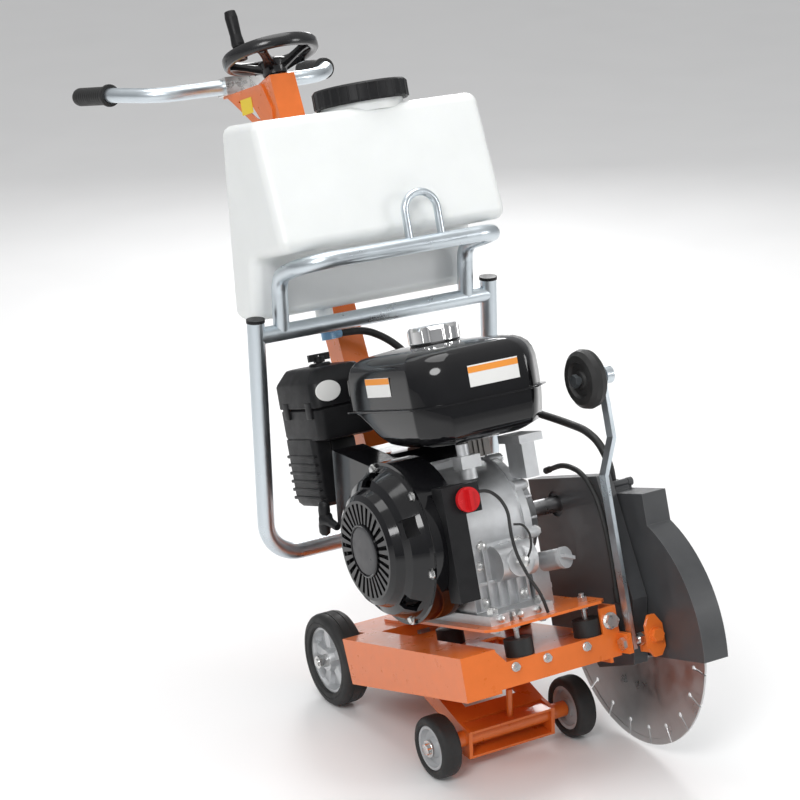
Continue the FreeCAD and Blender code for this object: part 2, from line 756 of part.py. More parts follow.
def hex_bolts():
    """Every hexagon bolt and nut of the frame: mount studs, engine bolts, front lip, wheel and pivot."""
    parts = []
    for x, y in MOUNTS:
        parts.append(join([
            rod((x, y, TRAY - T - 8), (0, 0, 1), 4, PLATE + 24 - TRAY),
            prism((x, y, TRAY - T - 7), (0, 0, 1), 6, 7.5, 7),
            prism((x, y, PLATE - D["plate_thick"] - 7), (0, 0, 1), 6, 7.5, 7),
            prism((x, y, PLATE), (0, 0, 1), 6, 7.5, 7)]))
    for x, y in ENGINE_BOLTS:
        parts.append(join([
            rod((x, y, PLATE - 14), (0, 0, 1), 5, 38),
            prism((x, y, PLATE - 12), (0, 0, 1), 6, 9, 8),
            prism((x, y, PLATE + 14), (0, 0, 1), 6, 9, 8)]))
    for x, z, size in ((107, 36, 11), (-62, 9, 6), (-8, 9, 6), (60, 9, 6)):
        parts.append(join([
            rod((x, FRONT, z), (0, -1, 0), size * 1.15, 1.6),
            prism((x, FRONT - 1.6, z), (0, -1, 0), 6, size, size * 0.7)]))
    for side in (-1, 1):
        face = side * (D["rear_wheel_outer"] + 2.2)
        nut = prism((face, 0, 0), (side, 0, 0), 6, 11, 9)
        parts.append(cut(nut, [rod((face - side, 0, 0), (side, 0, 0), 6, 12)]))
    pivot = rod((LEFT + 13.6, FRONT - 14, 1), (1, 0, 0), 6, 31)
    head = prism((LEFT + 8, FRONT - 14, 1), (1, 0, 0), 6, 9.5, 6)
    nut = prism((LEFT + 38, FRONT - 14, 1), (1, 0, 0), 6, 9.5, 8)
    parts.append(join([pivot, head, nut]))
    return node("hex_bolts", several(parts))


CYL_TILT = 25.0
CYL_AXIS = (0, math.cos(math.radians(CYL_TILT)), math.sin(math.radians(CYL_TILT)))


def on_cylinder(r, x=0.0, lift=0.0):
    """A point along the inclined cylinder axis at distance r from the crank, raised by `lift`."""
    _, c, s = CYL_AXIS
    return (x - 25, CY + c * r - s * lift, CZ + s * r + c * lift)


def crankcase():
    """Aluminium crankcase with a feet flange, a round gear side and a cavity for the shaft."""
    base = box((-80, -430, PLATE), (107, 224, 14))
    drum = rod((-80, CY, CZ), (1, 0, 0), 92, 107)
    lower = box((-74, -384, PLATE + 10), (95, 148, 110))
    front_boss = rod((-40, -398, 150), (1, 0, 0), 26, 60)
    shoulder = box((-72, -300, 250), (88, 96, 50))
    turn = Rotation(V(1, 0, 0), CYL_TILT)
    deck = V(*on_cylinder(95.8)) + turn.multVec(V(-70, 0, -100))
    tools = [
        box(tuple(deck), (140, 150, 200), turn),
        rod((-70, CY, CZ), (1, 0, 0), 74, 87),
        rod((-90, CY, CZ), (1, 0, 0), 17.6, 130),
        rod((-30, CY, CZ), CYL_AXIS, 42.1, 240),
        box((-120, -480, PLATE - 40), (200, 400, 40)),
    ]
    tools += [rod((x, y, PLATE - 2), (0, 0, 1), 5.1, 30) for x, y in ENGINE_BOLTS]
    tools += [rod((x, y, PLATE - 2), (0, 0, 1), 11, 24) for x, y in MOUNTS if x < 0]
    return node("crankcase", cut(join([base, drum, lower, front_boss, shoulder]), tools))


def crankcase_cover():
    """Gear-side cover with its ring of bolts, oil filler neck and the cast tank bracket."""
    flange = rod((27, CY, CZ), (1, 0, 0), 96, 12)
    dome = cone((39, CY, CZ), (1, 0, 0), 84, 66, 28)
    nose = rod((60, CY, CZ), (1, 0, 0), 34, 18)
    foot = box((27, -384, PLATE), (30, 170, 60))
    neck = rod((52, -372, 132), (0.35, -0.93, 0.12), 15, 42)
    bracket = box((34, -406, 262), (22, 46, 60))
    pad_top = box((28, -412, 314), (40, 60, 12))
    ears = []
    for i in range(8):
        angle = 2 * math.pi * i / 8 + 0.2
        y, z = CY + 92 * math.cos(angle), CZ + 92 * math.sin(angle)
        if z > PLATE + 30:
            ears.append(rod((27, y, z), (1, 0, 0), 9, 20))
    tools = [
        rod((20, CY, CZ), (1, 0, 0), 17.6, 80),
        rod((20, CY, CZ), (1, 0, 0), 62, 38),
        rod((52 + 0.35 * 20, -372 - 0.93 * 20, 132 + 0.12 * 20), (0.35, -0.93, 0.12), 10.2, 30),
    ]
    body = cut(join([flange, dome, nose, foot, neck, bracket, pad_top] + ears), tools)
    return node("crankcase_cover", body)


def cylinder():
    """Finned barrel and head in one casting, bored for the piston."""
    turn = Rotation(V(1, 0, 0), CYL_TILT)
    parts = [rod(on_cylinder(96, -8), CYL_AXIS, 45, 104)]
    for i in range(8):
        r = 100 + i * 11
        corner = V(*on_cylinder(r)) + turn.multVec(V(-58, 0, -54))
        parts.append(box(tuple(corner), (100, 4, 108), turn))
    corner = V(*on_cylinder(182)) + turn.multVec(V(-54, 0, -50))
    parts.append(box(tuple(corner), (94, 20, 100), turn))
    bore = rod(on_cylinder(80, -8), CYL_AXIS, 38.5, 106)
    return node("cylinder", cut(join(parts), [bore]))


def valve_cover():
    turn = Rotation(V(1, 0, 0), CYL_TILT)
    corner = V(*on_cylinder(202.3)) + turn.multVec(V(-42, 0, -40))
    flange = box(tuple(corner), (70, 4, 80), turn)
    corner = V(*on_cylinder(206)) + turn.multVec(V(-36, 0, -34))
    crown = box(tuple(corner), (58, 16, 68), turn)
    return node("valve_cover", join([flange, crown]))


def fan_shroud():
    """Blower housing round the flywheel, opening towards the cylinder fins."""
    drum = rod((-140, CY, CZ), (1, 0, 0), 121, 54)
    duct = box((-140, -262, 190), (54, 148, 120), Rotation(V(1, 0, 0), 12))
    tools = [
        rod((-137, CY, CZ), (1, 0, 0), 118, 60),
        rod((-145, CY, CZ), (1, 0, 0), 94, 12),
        box((-137, -262, 193), (60, 158, 114), Rotation(V(1, 0, 0), 12)),
        box((-160, -440, PLATE - 60), (140, 300, 61)),
        box((-86.2, -440, PLATE), (60, 500, 400)),
    ]
    return node("fan_shroud", cut(join([drum, duct]), tools))


def recoil_cover():
    """Turned starter cover with its ring of radial slots and side louvres."""
    body = new_body("recoil_cover")
    revolve(body, [
        (0, 50), (28, 50), (30, 49), (74, 49), (82, 44), (88, 32), (100, 26), (112, 4), (116, 0),
        (104, 0), (98, 20), (84, 27), (78, 40), (72, 45), (0, 45)])
    doc.recompute()
    volume = body.Shape.Volume
    face = sketch_on(body, "XY_Plane", 38)
    draw_polygon(face, [(36, -2.4), (70, -3.4), (70, 3.4), (36, 2.4)])
    slot = pocket(body, face, 20, reverse=True)
    polar(body, slot, 30)
    volume = checked(body, volume, "starter slots")
    side = sketch_on(body, "XY_Plane", 2)
    draw_polygon(side, [(90, -14), (108, -14), (108, 14), (90, 14)])
    window = pocket(body, side, 40, reverse=True)
    polar(body, window, 5)
    checked(body, volume, "side windows")
    place = CHASSIS.multiply(along_x(-140.2, CY, CZ, True))
    return node("recoil_cover", body, place)


def starter_grip():
    stem = cone((-176, -190, 228), (0, 0.93, 0.3), 6, 9, 40)
    bar = rod((-190, -150, 241), (1, -0.1, 0.35), 9, 32)
    return node("starter_grip", join([stem, bar]))


def flywheel():
    disc = rod((-132, CY, CZ), (1, 0, 0), 90, 12)
    hub = rod((-136, CY, CZ), (1, 0, 0), 26, 34)
    vanes = []
    for i in range(12):
        turn = Rotation(V(1, 0, 0), 30 * i)
        corner = V(-120.5, CY, CZ) + turn.multVec(V(0, 46, -2))
        vanes.append(box(tuple(corner), (16, 42, 4), turn))
    bore = rod((-145, CY, CZ), (1, 0, 0), 12.5, 60)
    return node("flywheel", cut(join([disc, hub] + vanes), [bore]))


def crankshaft():
    shaft = rod((-146, CY, CZ), (1, 0, 0), "dims.shaft_dia / 2", 310)
    web = rod((-56, CY, CZ), (1, 0, 0), 52, 16)
    web2 = rod((-12, CY, CZ), (1, 0, 0), 52, 16)
    journals = rod((-84, CY, CZ), (1, 0, 0), 17.3, 160)
    return node("crankshaft", join([shaft, web, web2, journals]))


def fuel_tank():
    """Two pressed halves on a seam flange."""
    z = D["tank_flange_height"]
    flange = box((-120, -430, z - 1.5), (222, 280, 3))
    upper = new_body("upper")
    sketch = sketch_on(upper, "YZ_Plane", -9)
    draw_polygon(sketch, [(-424, z), (-424, z + 52), (-404, z + 74), (-330, z + 82), (-250, z + 82),
                          (-170, z + 66), (-156, z + 44), (-156, z)])
    pad(upper, sketch, 210, symmetric=True)
    lower = new_body("lower")
    sketch = sketch_on(lower, "YZ_Plane", -9)
    draw_polygon(sketch, [(-424, z), (-422, z - 48), (-408, z - 61), (-272, z - 61), (-184, z - 14), (-158, z)])
    pad(lower, sketch, 208, symmetric=True)
    for half, radius in ((upper, 16), (lower, 9)):
        doc.recompute()
        block = half.Tip
        edges = [f"Edge{i + 1}" for i, e in enumerate(block.Shape.Edges)
                 if e.BoundBox.ZLength > 1 or abs(e.CenterOfMass.z - z) > 2]
        fillet = half.newObject("PartDesign::Fillet", "rounding")
        fillet.Base = (block, edges)
        fillet.Radius = radius
    neck = rod((-6, -276, z + 60), (0, 0, 1), 28, 30)
    mouth = rod((-6, -276, z + 50), (0, 0, 1), 24, 50)
    hollow = box((-108, -412, z - 50), (198, 120, 120))
    hollow_rear = box((-108, -292, z - 4), (198, 124, 60))
    return node("fuel_tank", cut(join([flange, upper, lower, neck]), [mouth, hollow, hollow_rear]))


def fuel_cap():
    body = new_body("fuel_cap")
    revolve(body, [(0, 20), (28.6, 20), (28.6, 0), (37, 0), (39, 3), (39, 21), (35, 26), (0, 27)])
    doc.recompute()
    before = body.Shape.Volume
    sketch = sketch_on(body, "XY_Plane", 4)
    draw_circle(sketch, 43, 0, 8)
    scallop = pocket(body, sketch, 30, reverse=True)
    polar(body, scallop, 8)
    checked(body, before, "cap scallops")
    place = CHASSIS.multiply(Placement(V(-6, -276, D["tank_flange_height"] + 83), Rotation()))
    return node("fuel_cap", body, place)


def air_cleaner_body():
    """Lower housing, stepped at the front, with the pre-cleaner column."""
    upper = box((-150, -134, 352), (104, 136, 52))
    column_part = box((-150, -100, 250), (36, 100, 103))
    elbow = box((-114.5, -100, 322), (40, 60, 31))
    recess = box((-143, -127, 358), (90, 122, 47))
    stud = rod((-98, -66, 350), (0, 0, 1), 3.5, 128)
    return node("air_cleaner_body", join([cut(join([upper, column_part, elbow]), [recess]), stud]))


def air_cleaner_lid():
    skirt = box((-152, -136, 404.3), (108, 140, 46))
    crown = box((-144, -128, 450), (92, 124, 14))
    knob_seat = rod((-98, -66, 464), (0, 0, 1), 16, 5)
    recess = box((-147, -131, 404), (98, 130, 44))
    hole = rod((-98, -66, 400), (0, 0, 1), 4, 90)
    vents = [box((-153, -118 + 14 * i, 412), (4, 6, 22)) for i in range(8)]
    return node("air_cleaner_lid", cut(join([skirt, crown, knob_seat]), [recess, hole] + vents))


def wing_nut():
    hub = rod((-98, -66, 469.4), (0, 0, 1), 9, 9)
    wings = box((-116, -69, 472), (36, 6, 11))
    bore = rod((-98, -66, 468), (0, 0, 1), 3.6, 12)
    return node("wing_nut", cut(join([hub, wings]), [bore]))


def carburettor():
    body = box((-112, -98, 268), (36, 36, 44))
    bowl = rod((-94, -80, 250), (0, 0, 1), 15, 19)
    throat = rod((-94, -80, 311), (0, 0, 1), 13, 10.8)
    lever = box((-106, -112, 306), (24, 16, 4))
    return node("carburettor", join([body, bowl, throat, lever]))


def muffler():
    """Silencer box with its heat guard and outlet."""
    can = box((34, -168, 268), (86, 112, 104))
    outlet = rod((80, -60, 336), (0, 1, 0), 11, 30)
    pipe = rod((34.5, -120, 300), (-1, 0, 0), 14, 10)
    slots = [box((50 + 9 * i, -170, 282), (4, 4, 76)) for i in range(7)]
    slots += [box((46, -160 + 12 * i, 370), (62, 5, 4)) for i in range(8)]
    return node("muffler", cut(join([can, outlet, pipe]), slots))


def switch_box():
    """Moulded control housing in front of the blower, with the ignition switch boss."""
    body = join([box((-120, -427, 112), (33, 30, 166)), box((-120, -427, 236), (60, 20, 42))])
    seat = rod((-84, -420, 256), (0, -1, 0), 17, 9)
    stem_hole = rod((-84, -410, 256), (0, -1, 0), 5.1, 30)
    blower = rod((-150, CY, CZ), (1, 0, 0), 121.5, 66)
    return node("switch_box", cut(join([body, seat]), [stem_hole, blower]))


def engine_switch():
    """Round red rotary switch with a finger bar."""
    dial = rod((-84, -429.4, 256), (0, -1, 0), 18, 7)
    bar = box((-87, -445, 241), (6, 9, 30))
    stem = rod((-84, -429.6, 256), (0, 1, 0), 5, 12)
    return node("engine_switch", join([dial, bar, stem]))


def oil_cap():
    axis = V(0.35, -0.93, 0.12).normalize()
    seat = V(52, -372, 132) + axis * 42.3
    shank = rod(tuple(seat - axis * 12), tuple(axis), 10, 12)
    head = rod(tuple(seat), tuple(axis), 16, 7)
    turn = aim(tuple(axis))
    corner = seat + axis * 7 + turn.multVec(V(-12, -2.5, 0))
    wings = box(tuple(corner), (24, 5, 8), turn)
    return node("oil_cap", join([shank, head, wings]))


def fuel_cock():
    """Fuel tap under the tank with its strainer bowl."""
    body = join([rod((-56, -392, 309), (0, 0, 1), 9, 21.5), box((-72, -412, 296), (32, 26, 18)),
                 rod((-56, -399, 280), (0, 0, 1), 12, 17)])
    return node("fuel_cock", body)


WIRE_MAIN = [(-59.7, -417, 262), (-40, -418, 260), (-27, -424, 246), (-22, -432, 226), (-26, -436, 190),
             (-22, -437, 160), (-10, -439, 126), (4, -441, 98), (10, -441, 71)]
WIRE_SENSOR = [(-18, -434, 206), (-6, -439, 204), (2, -441, 190), (4, -437, 168), (-4, -427.5, 148)]


def wiring():
    parts = [raw(cord(WIRE_MAIN, 5, "stop wire")), raw(cord(WIRE_SENSOR, 3.4, "sensor wire"))]
    return node("wiring", several(parts))


# ---------------------------------------------------------------- drive to the blade
def pulley(name, centre, outer, x0):
    """Two-groove V pulley turned about the shaft."""
    body = new_body(name)
    bore = D["shaft_dia"] / 2
    w = 19
    revolve(body, [(bore, 0), (outer, 0), (outer, 2), (outer - 7, 4.5), (outer - 7, 7), (outer, 9.5),
                   (outer, 10.5), (outer - 7, 13), (outer - 7, 15.5), (outer, 18), (outer, w), (bore, w)])
    return node(name, body, CHASSIS.multiply(along_x(x0, *centre)))


def v_belts():
    """Two belts as closed loops round both pulleys."""
    (y1, z1), (y2, z2) = CRANK, BLADE
    r1, r2 = DRIVE_R - 6.5, DRIVEN_R - 6.5
    dy, dz = y2 - y1, z2 - z1
    span = math.hypot(dy, dz)
    lean = math.acos((r1 - r2) / span)
    base = math.atan2(dz, dy)

    def loop(grow):
        points = []
        for (cy, cz, r) in ((y1, z1, r1 + grow), (y2, z2, r2 + grow)):
            for sign in (1, -1):
                angle = base + sign * lean
                points.append(V(0, cy + r * math.cos(angle), cz + r * math.sin(angle)))
        a1, b1, a2, b2 = points[0], points[1], points[2], points[3]
        far1 = V(0, y1 - (r1 + grow) * math.cos(base), z1 - (r1 + grow) * math.sin(base))
        far2 = V(0, y2 + (r2 + grow) * math.cos(base), z2 + (r2 + grow) * math.sin(base))
        edges = [Part.Arc(a1, far1, b1).toShape(), Part.LineSegment(b1, b2).toShape(),
                 Part.Arc(b2, far2, a2).toShape(), Part.LineSegment(a2, a1).toShape()]
        return Part.Face(Part.Wire(edges))

    ring_face = loop(6.3).cut(loop(0))
    parts = []
    for x in (BELT_X + 5.0, BELT_X + 13.5):
        band = ring_face.extrude(V(1.6, 0, 0))
        band.translate(V(x, 0, 0))
        parts.append(raw(band))
    return node("v_belts", several(parts))


BELT_X = 146
DRIVE_R = 34
DRIVEN_R = 32


def belt_guard():
    """Folded steel casing over both pulleys, open at its lower rear for the belts' air."""
    outline = [(-226, 120), (-226, 236), (-420, 243), (-462, 60), (-436, -40), (-340, -52), (-250, 60)]
    outer = plate_x(142.6, 25, outline)
    centre = (-350, 100)
    inner_outline = [(centre[0] + (y - centre[0]) * 0.975, centre[1] + (z - centre[1]) * 0.975) for y, z in outline]
    inner = plate_x(144.6, 21.5, inner_outline)
    tools = [inner, rod((140, *BLADE), (1, 0, 0), 27, 30), rod((140, *CRANK), (1, 0, 0), 20, 10)]
    return node("belt_guard", cut(outer, tools))


def bearing_housing():
    """Flanged bearing unit on the chassis flank."""
    y, z = BLADE
    barrel = rod((LEFT, y, z), (1, 0, 0), 25, 38)
    flange = box((LEFT, -430, -25), (8, 68, 44))
    bore = rod((LEFT - 5, y, z), (1, 0, 0), "dims.shaft_dia / 2 + 0.05", 60)
    return node("bearing_housing", cut(join([barrel, flange]), [bore]))


def blade_shaft():
    y, z = BLADE
    shaft = rod((LEFT - 2, y, z), (1, 0, 0), "dims.shaft_dia / 2", D["blade_side"] - LEFT - 12)
    arbor = rod((D["blade_side"] - 14, y, z), (1, 0, 0), "dims.arbor_dia / 2", 24)
    thread = rod((D["blade_side"] + 9, y, z), (1, 0, 0), 10, 11)
    return node("blade_shaft", join([shaft, arbor, thread]))


def blade_flanges():
    """Inner flange, outer flange and the arbor nut."""
    y, z = BLADE
    side = D["blade_side"]
    gap = D["blade_thick"] / 2
    arbor = D["arbor_dia"] / 2
    inner = cut(rod((side - gap - 9, y, z), (1, 0, 0), 50, 9), [rod((side - 20, y, z), (1, 0, 0), arbor, 30)])
    outer = cut(rod((side + gap, y, z), (1, 0, 0), 50, 7), [rod((side - 20, y, z), (1, 0, 0), arbor, 40)])
    nut = cut(prism((side + 10.1, y, z), (1, 0, 0), 6, 19, 9), [rod((side, y, z), (1, 0, 0), 10, 30)])
    return node("blade_flanges", several([inner, outer, nut]))


def blade():
    """Steel core with keyhole gullets and thicker diamond segments."""
    body = new_body("blade")
    r = D["blade_dia"] / 2
    gap = D["blade_thick"] / 2
    revolve(body, [(D["arbor_dia"] / 2, -gap), (r - 9, -gap), (r - 9, -gap - 0.5), (r, -gap - 0.5),
                   (r, gap + 0.5), (r - 9, gap + 0.5), (r - 9, gap), (D["arbor_dia"] / 2, gap)])
    doc.recompute()
    before = body.Shape.Volume
    sketch = sketch_on(body, "XY_Plane")
    draw_polygon(sketch, [(r - 24, -1.4), (r + 3, -1.4), (r + 3, 1.4), (r - 24, 1.4)])
    slot = pocket(body, sketch, 12, symmetric=True)
    polar(body, slot, 20)
    before = checked(body, before, "blade gullets")
    sketch = sketch_on(body, "XY_Plane")
    draw_circle(sketch, r - 26, 0, 3.6)
    keyhole = pocket(body, sketch, 12, symmetric=True)
    polar(body, keyhole, 20)
    checked(body, before, "blade keyholes")
    return node("blade", body, CHASSIS.multiply(along_x(D["blade_side"], *BLADE)))


def guard_sector(x0, width, inner, outer, y_limit, front):
    """A guard shell sector above the chord, in front of or behind a split plane."""
    drum = rod((x0, *BLADE), (1, 0, 0), outer, width)
    tools = [
        rod((x0 + inner, *BLADE), (1, 0, 0), outer - 2.5, width - 2 * inner),
        box((x0 - 5, -700, -300), (width + 10, 700, 300 - 32)),
    ]
    if front:
        tools.append(box((x0 - 5, y_limit, -300), (width + 10, 700, 700)))
    else:
        tools.append(box((x0 - 5, -700, -300), (width + 10, y_limit + 700, 700)))
    return drum, tools


GUARD_X = 169.5
GUARD_SPLIT = -404.0


def blade_guard():
    """Fixed rear half of the blade guard, with a square top box that carries the flap hinge."""
    w = D["guard_width"]
    drum, tools = guard_sector(GUARD_X, w, 2.5, D["guard_radius"], GUARD_SPLIT, False)
    top_box = box((GUARD_X, GUARD_SPLIT, 120), (w, 150, 95))
    hollow = box((GUARD_X + 2.5, GUARD_SPLIT - 5, 118), (w - 5, 152.5, 94.5))
    mouth = rod((GUARD_X - 3, *BLADE), (1, 0, 0), 56, 8)
    slot_down = box((GUARD_X - 3, BLADE[0] - 30, -60), (8, 60, 58))
    hinge_ears = [rod((x, GUARD_SPLIT - 1, 222), (1, 0, 0), 6.5, 8) for x in (GUARD_X, GUARD_X + w - 8)]
    ear_feet = [box((x, GUARD_SPLIT, 209), (8, 8, 13)) for x in (GUARD_X, GUARD_X + w - 8)]
    pin_hole = rod((GUARD_X - 3, GUARD_SPLIT - 1, 222), (1, 0, 0), 2.55, 70)
    body = cut(join([drum, top_box]), tools + [hollow, mouth, slot_down])
    spigot = rod((HOSE_MAIN[-1][0], HOSE_MAIN[-1][1], 213), (0, 0, 1), 9.5, 14)
    socket = rod((HOSE_MAIN[-1][0], HOSE_MAIN[-1][1], 215.1), (0, 0, 1), 6.4, 20)
    body = cut(join([body, spigot] + hinge_ears + ear_feet), [pin_hole, socket])
    return node("blade_guard", body)


def blade_guard_flap():
    """Front half of the guard, which swings up on a hinge pin for a blade change."""
    w = D["guard_width"]
    drum, tools = guard_sector(GUARD_X, w, 2.5, D["guard_radius"], GUARD_SPLIT - 0.8, True)
    block = box((GUARD_X, -490, 150), (w, 490 + GUARD_SPLIT - 0.8, 62))
    block_hollow = box((GUARD_X + 2.5, -487.5, 147), (w - 5, 100, 62.5))
    lug = box((GUARD_X + 9, GUARD_SPLIT - 6, 209), (w - 18, 5, 10))
    knuckle = rod((GUARD_X + 9, GUARD_SPLIT - 1, 222), (1, 0, 0), 6, w - 18)
    pin = rod((GUARD_X - 1.5, GUARD_SPLIT - 1, 222), (1, 0, 0), 2.5, w + 3)
    body = cut(join([drum, block]), tools + [block_hollow])
    return node("blade_guard_flap", join([body, lug, knuckle, pin]))


def guard_lug():
    """Hexagonal steel lug on an angle in front of the belt guard, with its fixing bolt."""
    face_y = FRONT - 44
    lug = new_body("lug")
    sketch = sketch_on(lug, "XZ_Plane", -(face_y + 6))
    draw_polygon(sketch, [(146, -24), (158, -24), (167, -12), (167, 22), (156, 38), (146, 38), (138, 24), (138, -10)])
    pad(lug, sketch, 6)
    arm = box((150, face_y + 5, -20), (8, 36, 28))
    foot = box((149, face_y + 36, -20), (17, 5, 28))
    washer = rod((153, face_y, 8), (0, -1, 0), 12, 1.6)
    head = prism((153, face_y - 1.6, 8), (0, -1, 0), 6, 10, 7)
    return node("guard_lug", join([lug, arm, foot, washer, head]))


# ---------------------------------------------------------------- guide arm
ARM_X = LEFT + 24.5
ARM_Y = FRONT - 14
WHEEL_Z = 390


def guide_arm():
    """Flat bar with a sideways set, pivoted on the front lip and carrying the guide wheel."""
    bar = new_body("bar")
    sketch = sketch_on(bar, "XZ_Plane", -(ARM_Y + 8))
    x = ARM_X
    draw_polygon(sketch, [(x, -10), (x, 248), (x + 24, 300), (x + 24, WHEEL_Z + 10), (x + 30, WHEEL_Z + 10),
                          (x + 30, 298), (x + 6, 246), (x + 6, -10)])
    pad(bar, sketch, 16)
    axle = rod((x - 16, ARM_Y, WHEEL_Z), (1, 0, 0), 6, 58)
    spacer = rod((x + 30, ARM_Y, WHEEL_Z), (1, 0, 0), 13, 12)
    collar = rod((x + 13.5, ARM_Y, WHEEL_Z), (1, 0, 0), 10, 12)
    nut = prism((x - 22, ARM_Y, WHEEL_Z), (1, 0, 0), 6, 10, 7)
    hole = rod((x - 5, ARM_Y, 1), (1, 0, 0), 6.1, 20)
    return node("guide_arm", cut(join([bar, axle, spacer, collar, nut]), [hole]))


def guide_wheel():
    body = new_body("guide_wheel")
    r, w = D["guide_wheel_dia"] / 2, D["guide_wheel_width"] / 2
    revolve(body, [(6.05, -w + 2), (12, -w + 2), (14, -w + 5), (24, -w + 5), (27, -w), (r - 8, -w),
                   (r - 2, -w + 5), (r, 0), (r - 2, w - 5), (r - 8, w), (27, w), (24, w - 5), (14, w - 5),
                   (12, w - 2), (6.05, w - 2)])
    return node("guide_wheel", body, CHASSIS.multiply(along_x(ARM_X - 0.2, ARM_Y, WHEEL_Z)))


# ---------------------------------------------------------------- build everything
def build():
    chassis_frame()
    rear_axle()
    wheels()
    front_carrier()
    carrier_pivot_shaft()
    column()
    lead_screw()
    lead_nut()
    handwheel()
    crank_grip()
    handlebar()
    handlebar_clamp()
    handle_grips()
    lift_frame()
    tube_end_caps()
    water_tank()
    water_tank_lid()
    water_valve()
    valve_lever()
    water_hoses()
    engine_plate()
    rubber_mounts()
    hex_bolts()
    crankcase()
    crankcase_cover()
    cylinder()
    valve_cover()
    fan_shroud()
    recoil_cover()
    starter_grip()
    flywheel()
    crankshaft()
    fuel_tank()
    fuel_cap()
    air_cleaner_body()
    air_cleaner_lid()
    wing_nut()
    carburettor()
    muffler()
    switch_box()
    engine_switch()
    oil_cap()
    fuel_cock()
    wiring()
    pulley("drive_pulley", CRANK, DRIVE_R, BELT_X)
    pulley("driven_pulley", BLADE, DRIVEN_R, BELT_X)
    v_belts()
    belt_guard()
    bearing_housing()
    blade_shaft()
    blade_flanges()
    blade()
    blade_guard()
    blade_guard_flap()
    guard_lug()
    guide_arm()
    guide_wheel()


def write_parts():
    """Check every object, then write one STEP file for each node."""
    doc.recompute()
    failed = []
    for obj in doc.Objects:
        if "Invalid" in obj.State or "Error" in obj.State:
            users = [user.Label for user in obj.InList]
            failed.append(f"{obj.Name} used by {users} {obj.getStatusString()}")
    assert not failed, failed
    os.makedirs("parts", exist_ok=True)
    for obj in nodes:
        shape = obj.Shape
        assert not shape.isNull(), obj.Label
        assert shape.isValid(), obj.Label
        shape.exportStep(f"parts/{obj.Label}.step")
    print(len(nodes), "nodes written")


build()
write_parts()
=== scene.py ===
import json
import math
import bmesh
import bpy
from mathutils import Matrix, Vector


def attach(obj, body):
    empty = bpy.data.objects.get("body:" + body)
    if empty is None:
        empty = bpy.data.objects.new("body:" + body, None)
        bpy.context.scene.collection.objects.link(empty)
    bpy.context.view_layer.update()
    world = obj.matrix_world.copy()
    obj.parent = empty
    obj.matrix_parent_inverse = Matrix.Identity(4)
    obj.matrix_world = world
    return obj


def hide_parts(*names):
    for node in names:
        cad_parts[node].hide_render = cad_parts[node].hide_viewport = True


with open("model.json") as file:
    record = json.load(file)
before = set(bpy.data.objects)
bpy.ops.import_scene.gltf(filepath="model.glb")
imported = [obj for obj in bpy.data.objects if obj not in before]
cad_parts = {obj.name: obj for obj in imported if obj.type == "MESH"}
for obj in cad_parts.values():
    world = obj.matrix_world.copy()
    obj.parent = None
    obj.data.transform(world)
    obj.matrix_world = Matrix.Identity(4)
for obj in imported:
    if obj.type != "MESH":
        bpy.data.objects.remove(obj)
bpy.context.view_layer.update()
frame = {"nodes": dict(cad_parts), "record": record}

scene = bpy.context.scene
NODES = frame["nodes"]

# ---------------------------------------------------------------- the chassis frame of the machine
PITCH = math.radians(-16.7)
MIDDLE_Y = -0.07072
AXLE_Z = 0.0745
CHASSIS = Matrix.Translation((0, MIDDLE_Y, AXLE_Z)) @ Matrix.Rotation(PITCH, 4, "X")
COLUMN_LEAN = math.radians(10.3)
CRANK_Y, CRANK_Z = -294, 199
FRONT_AXLE_Y, FRONT_AXLE_Z = -280, -112.19
HAND_WHEEL_Z = 933
CAMERA_TARGET = Vector((0.00327, MIDDLE_Y, 0.4813))
CAMERA_DISTANCE = 3.3587
CAMERA_LENS = 96.99


def turned(x, y, z, axis):
    """A matrix at a chassis point, with local Z along an axis of the chassis frame."""
    direction = Vector(axis).normalized()
    turn = Vector((0, 0, 1)).rotation_difference(direction).to_matrix().to_4x4()
    return CHASSIS @ Matrix.Translation((x / 1000, y / 1000, z / 1000)) @ turn


# ---------------------------------------------------------------- camera
def make_camera():
    azimuth, elevation, roll = math.radians(-29.4), math.radians(18.6), math.radians(1.8)
    back = Vector((math.sin(azimuth) * math.cos(elevation), -math.cos(azimuth) * math.cos(elevation),
                   math.sin(elevation)))
    right = Vector((math.cos(azimuth), math.sin(azimuth), 0))
    up = back.cross(right)
    axis_x = math.cos(roll) * right - math.sin(roll) * up
    axis_y = math.sin(roll) * right + math.cos(roll) * up
    place = Matrix((axis_x, axis_y, back)).transposed().to_4x4()
    place.translation = CAMERA_TARGET + back * CAMERA_DISTANCE
    data = bpy.data.cameras.new("camera")
    data.lens = CAMERA_LENS
    data.sensor_width = 36
    data.clip_end = 50
    camera = bpy.data.objects.new("camera", data)
    scene.collection.objects.link(camera)
    camera.matrix_world = place
    scene.camera = camera


make_camera()


# ---------------------------------------------------------------- materials
def link(tree, a, out, b, into):
    tree.links.new(a.outputs[out], b.inputs[into])


# Width of the edge band that is lightened: partly edge wear, partly a painted edge highlight.
EDGE_WEAR_AND_HIGHLIGHT_RADIUS = 0.0012 * 1.6
DUST_COLOUR = (0.32, 0.29, 0.25)


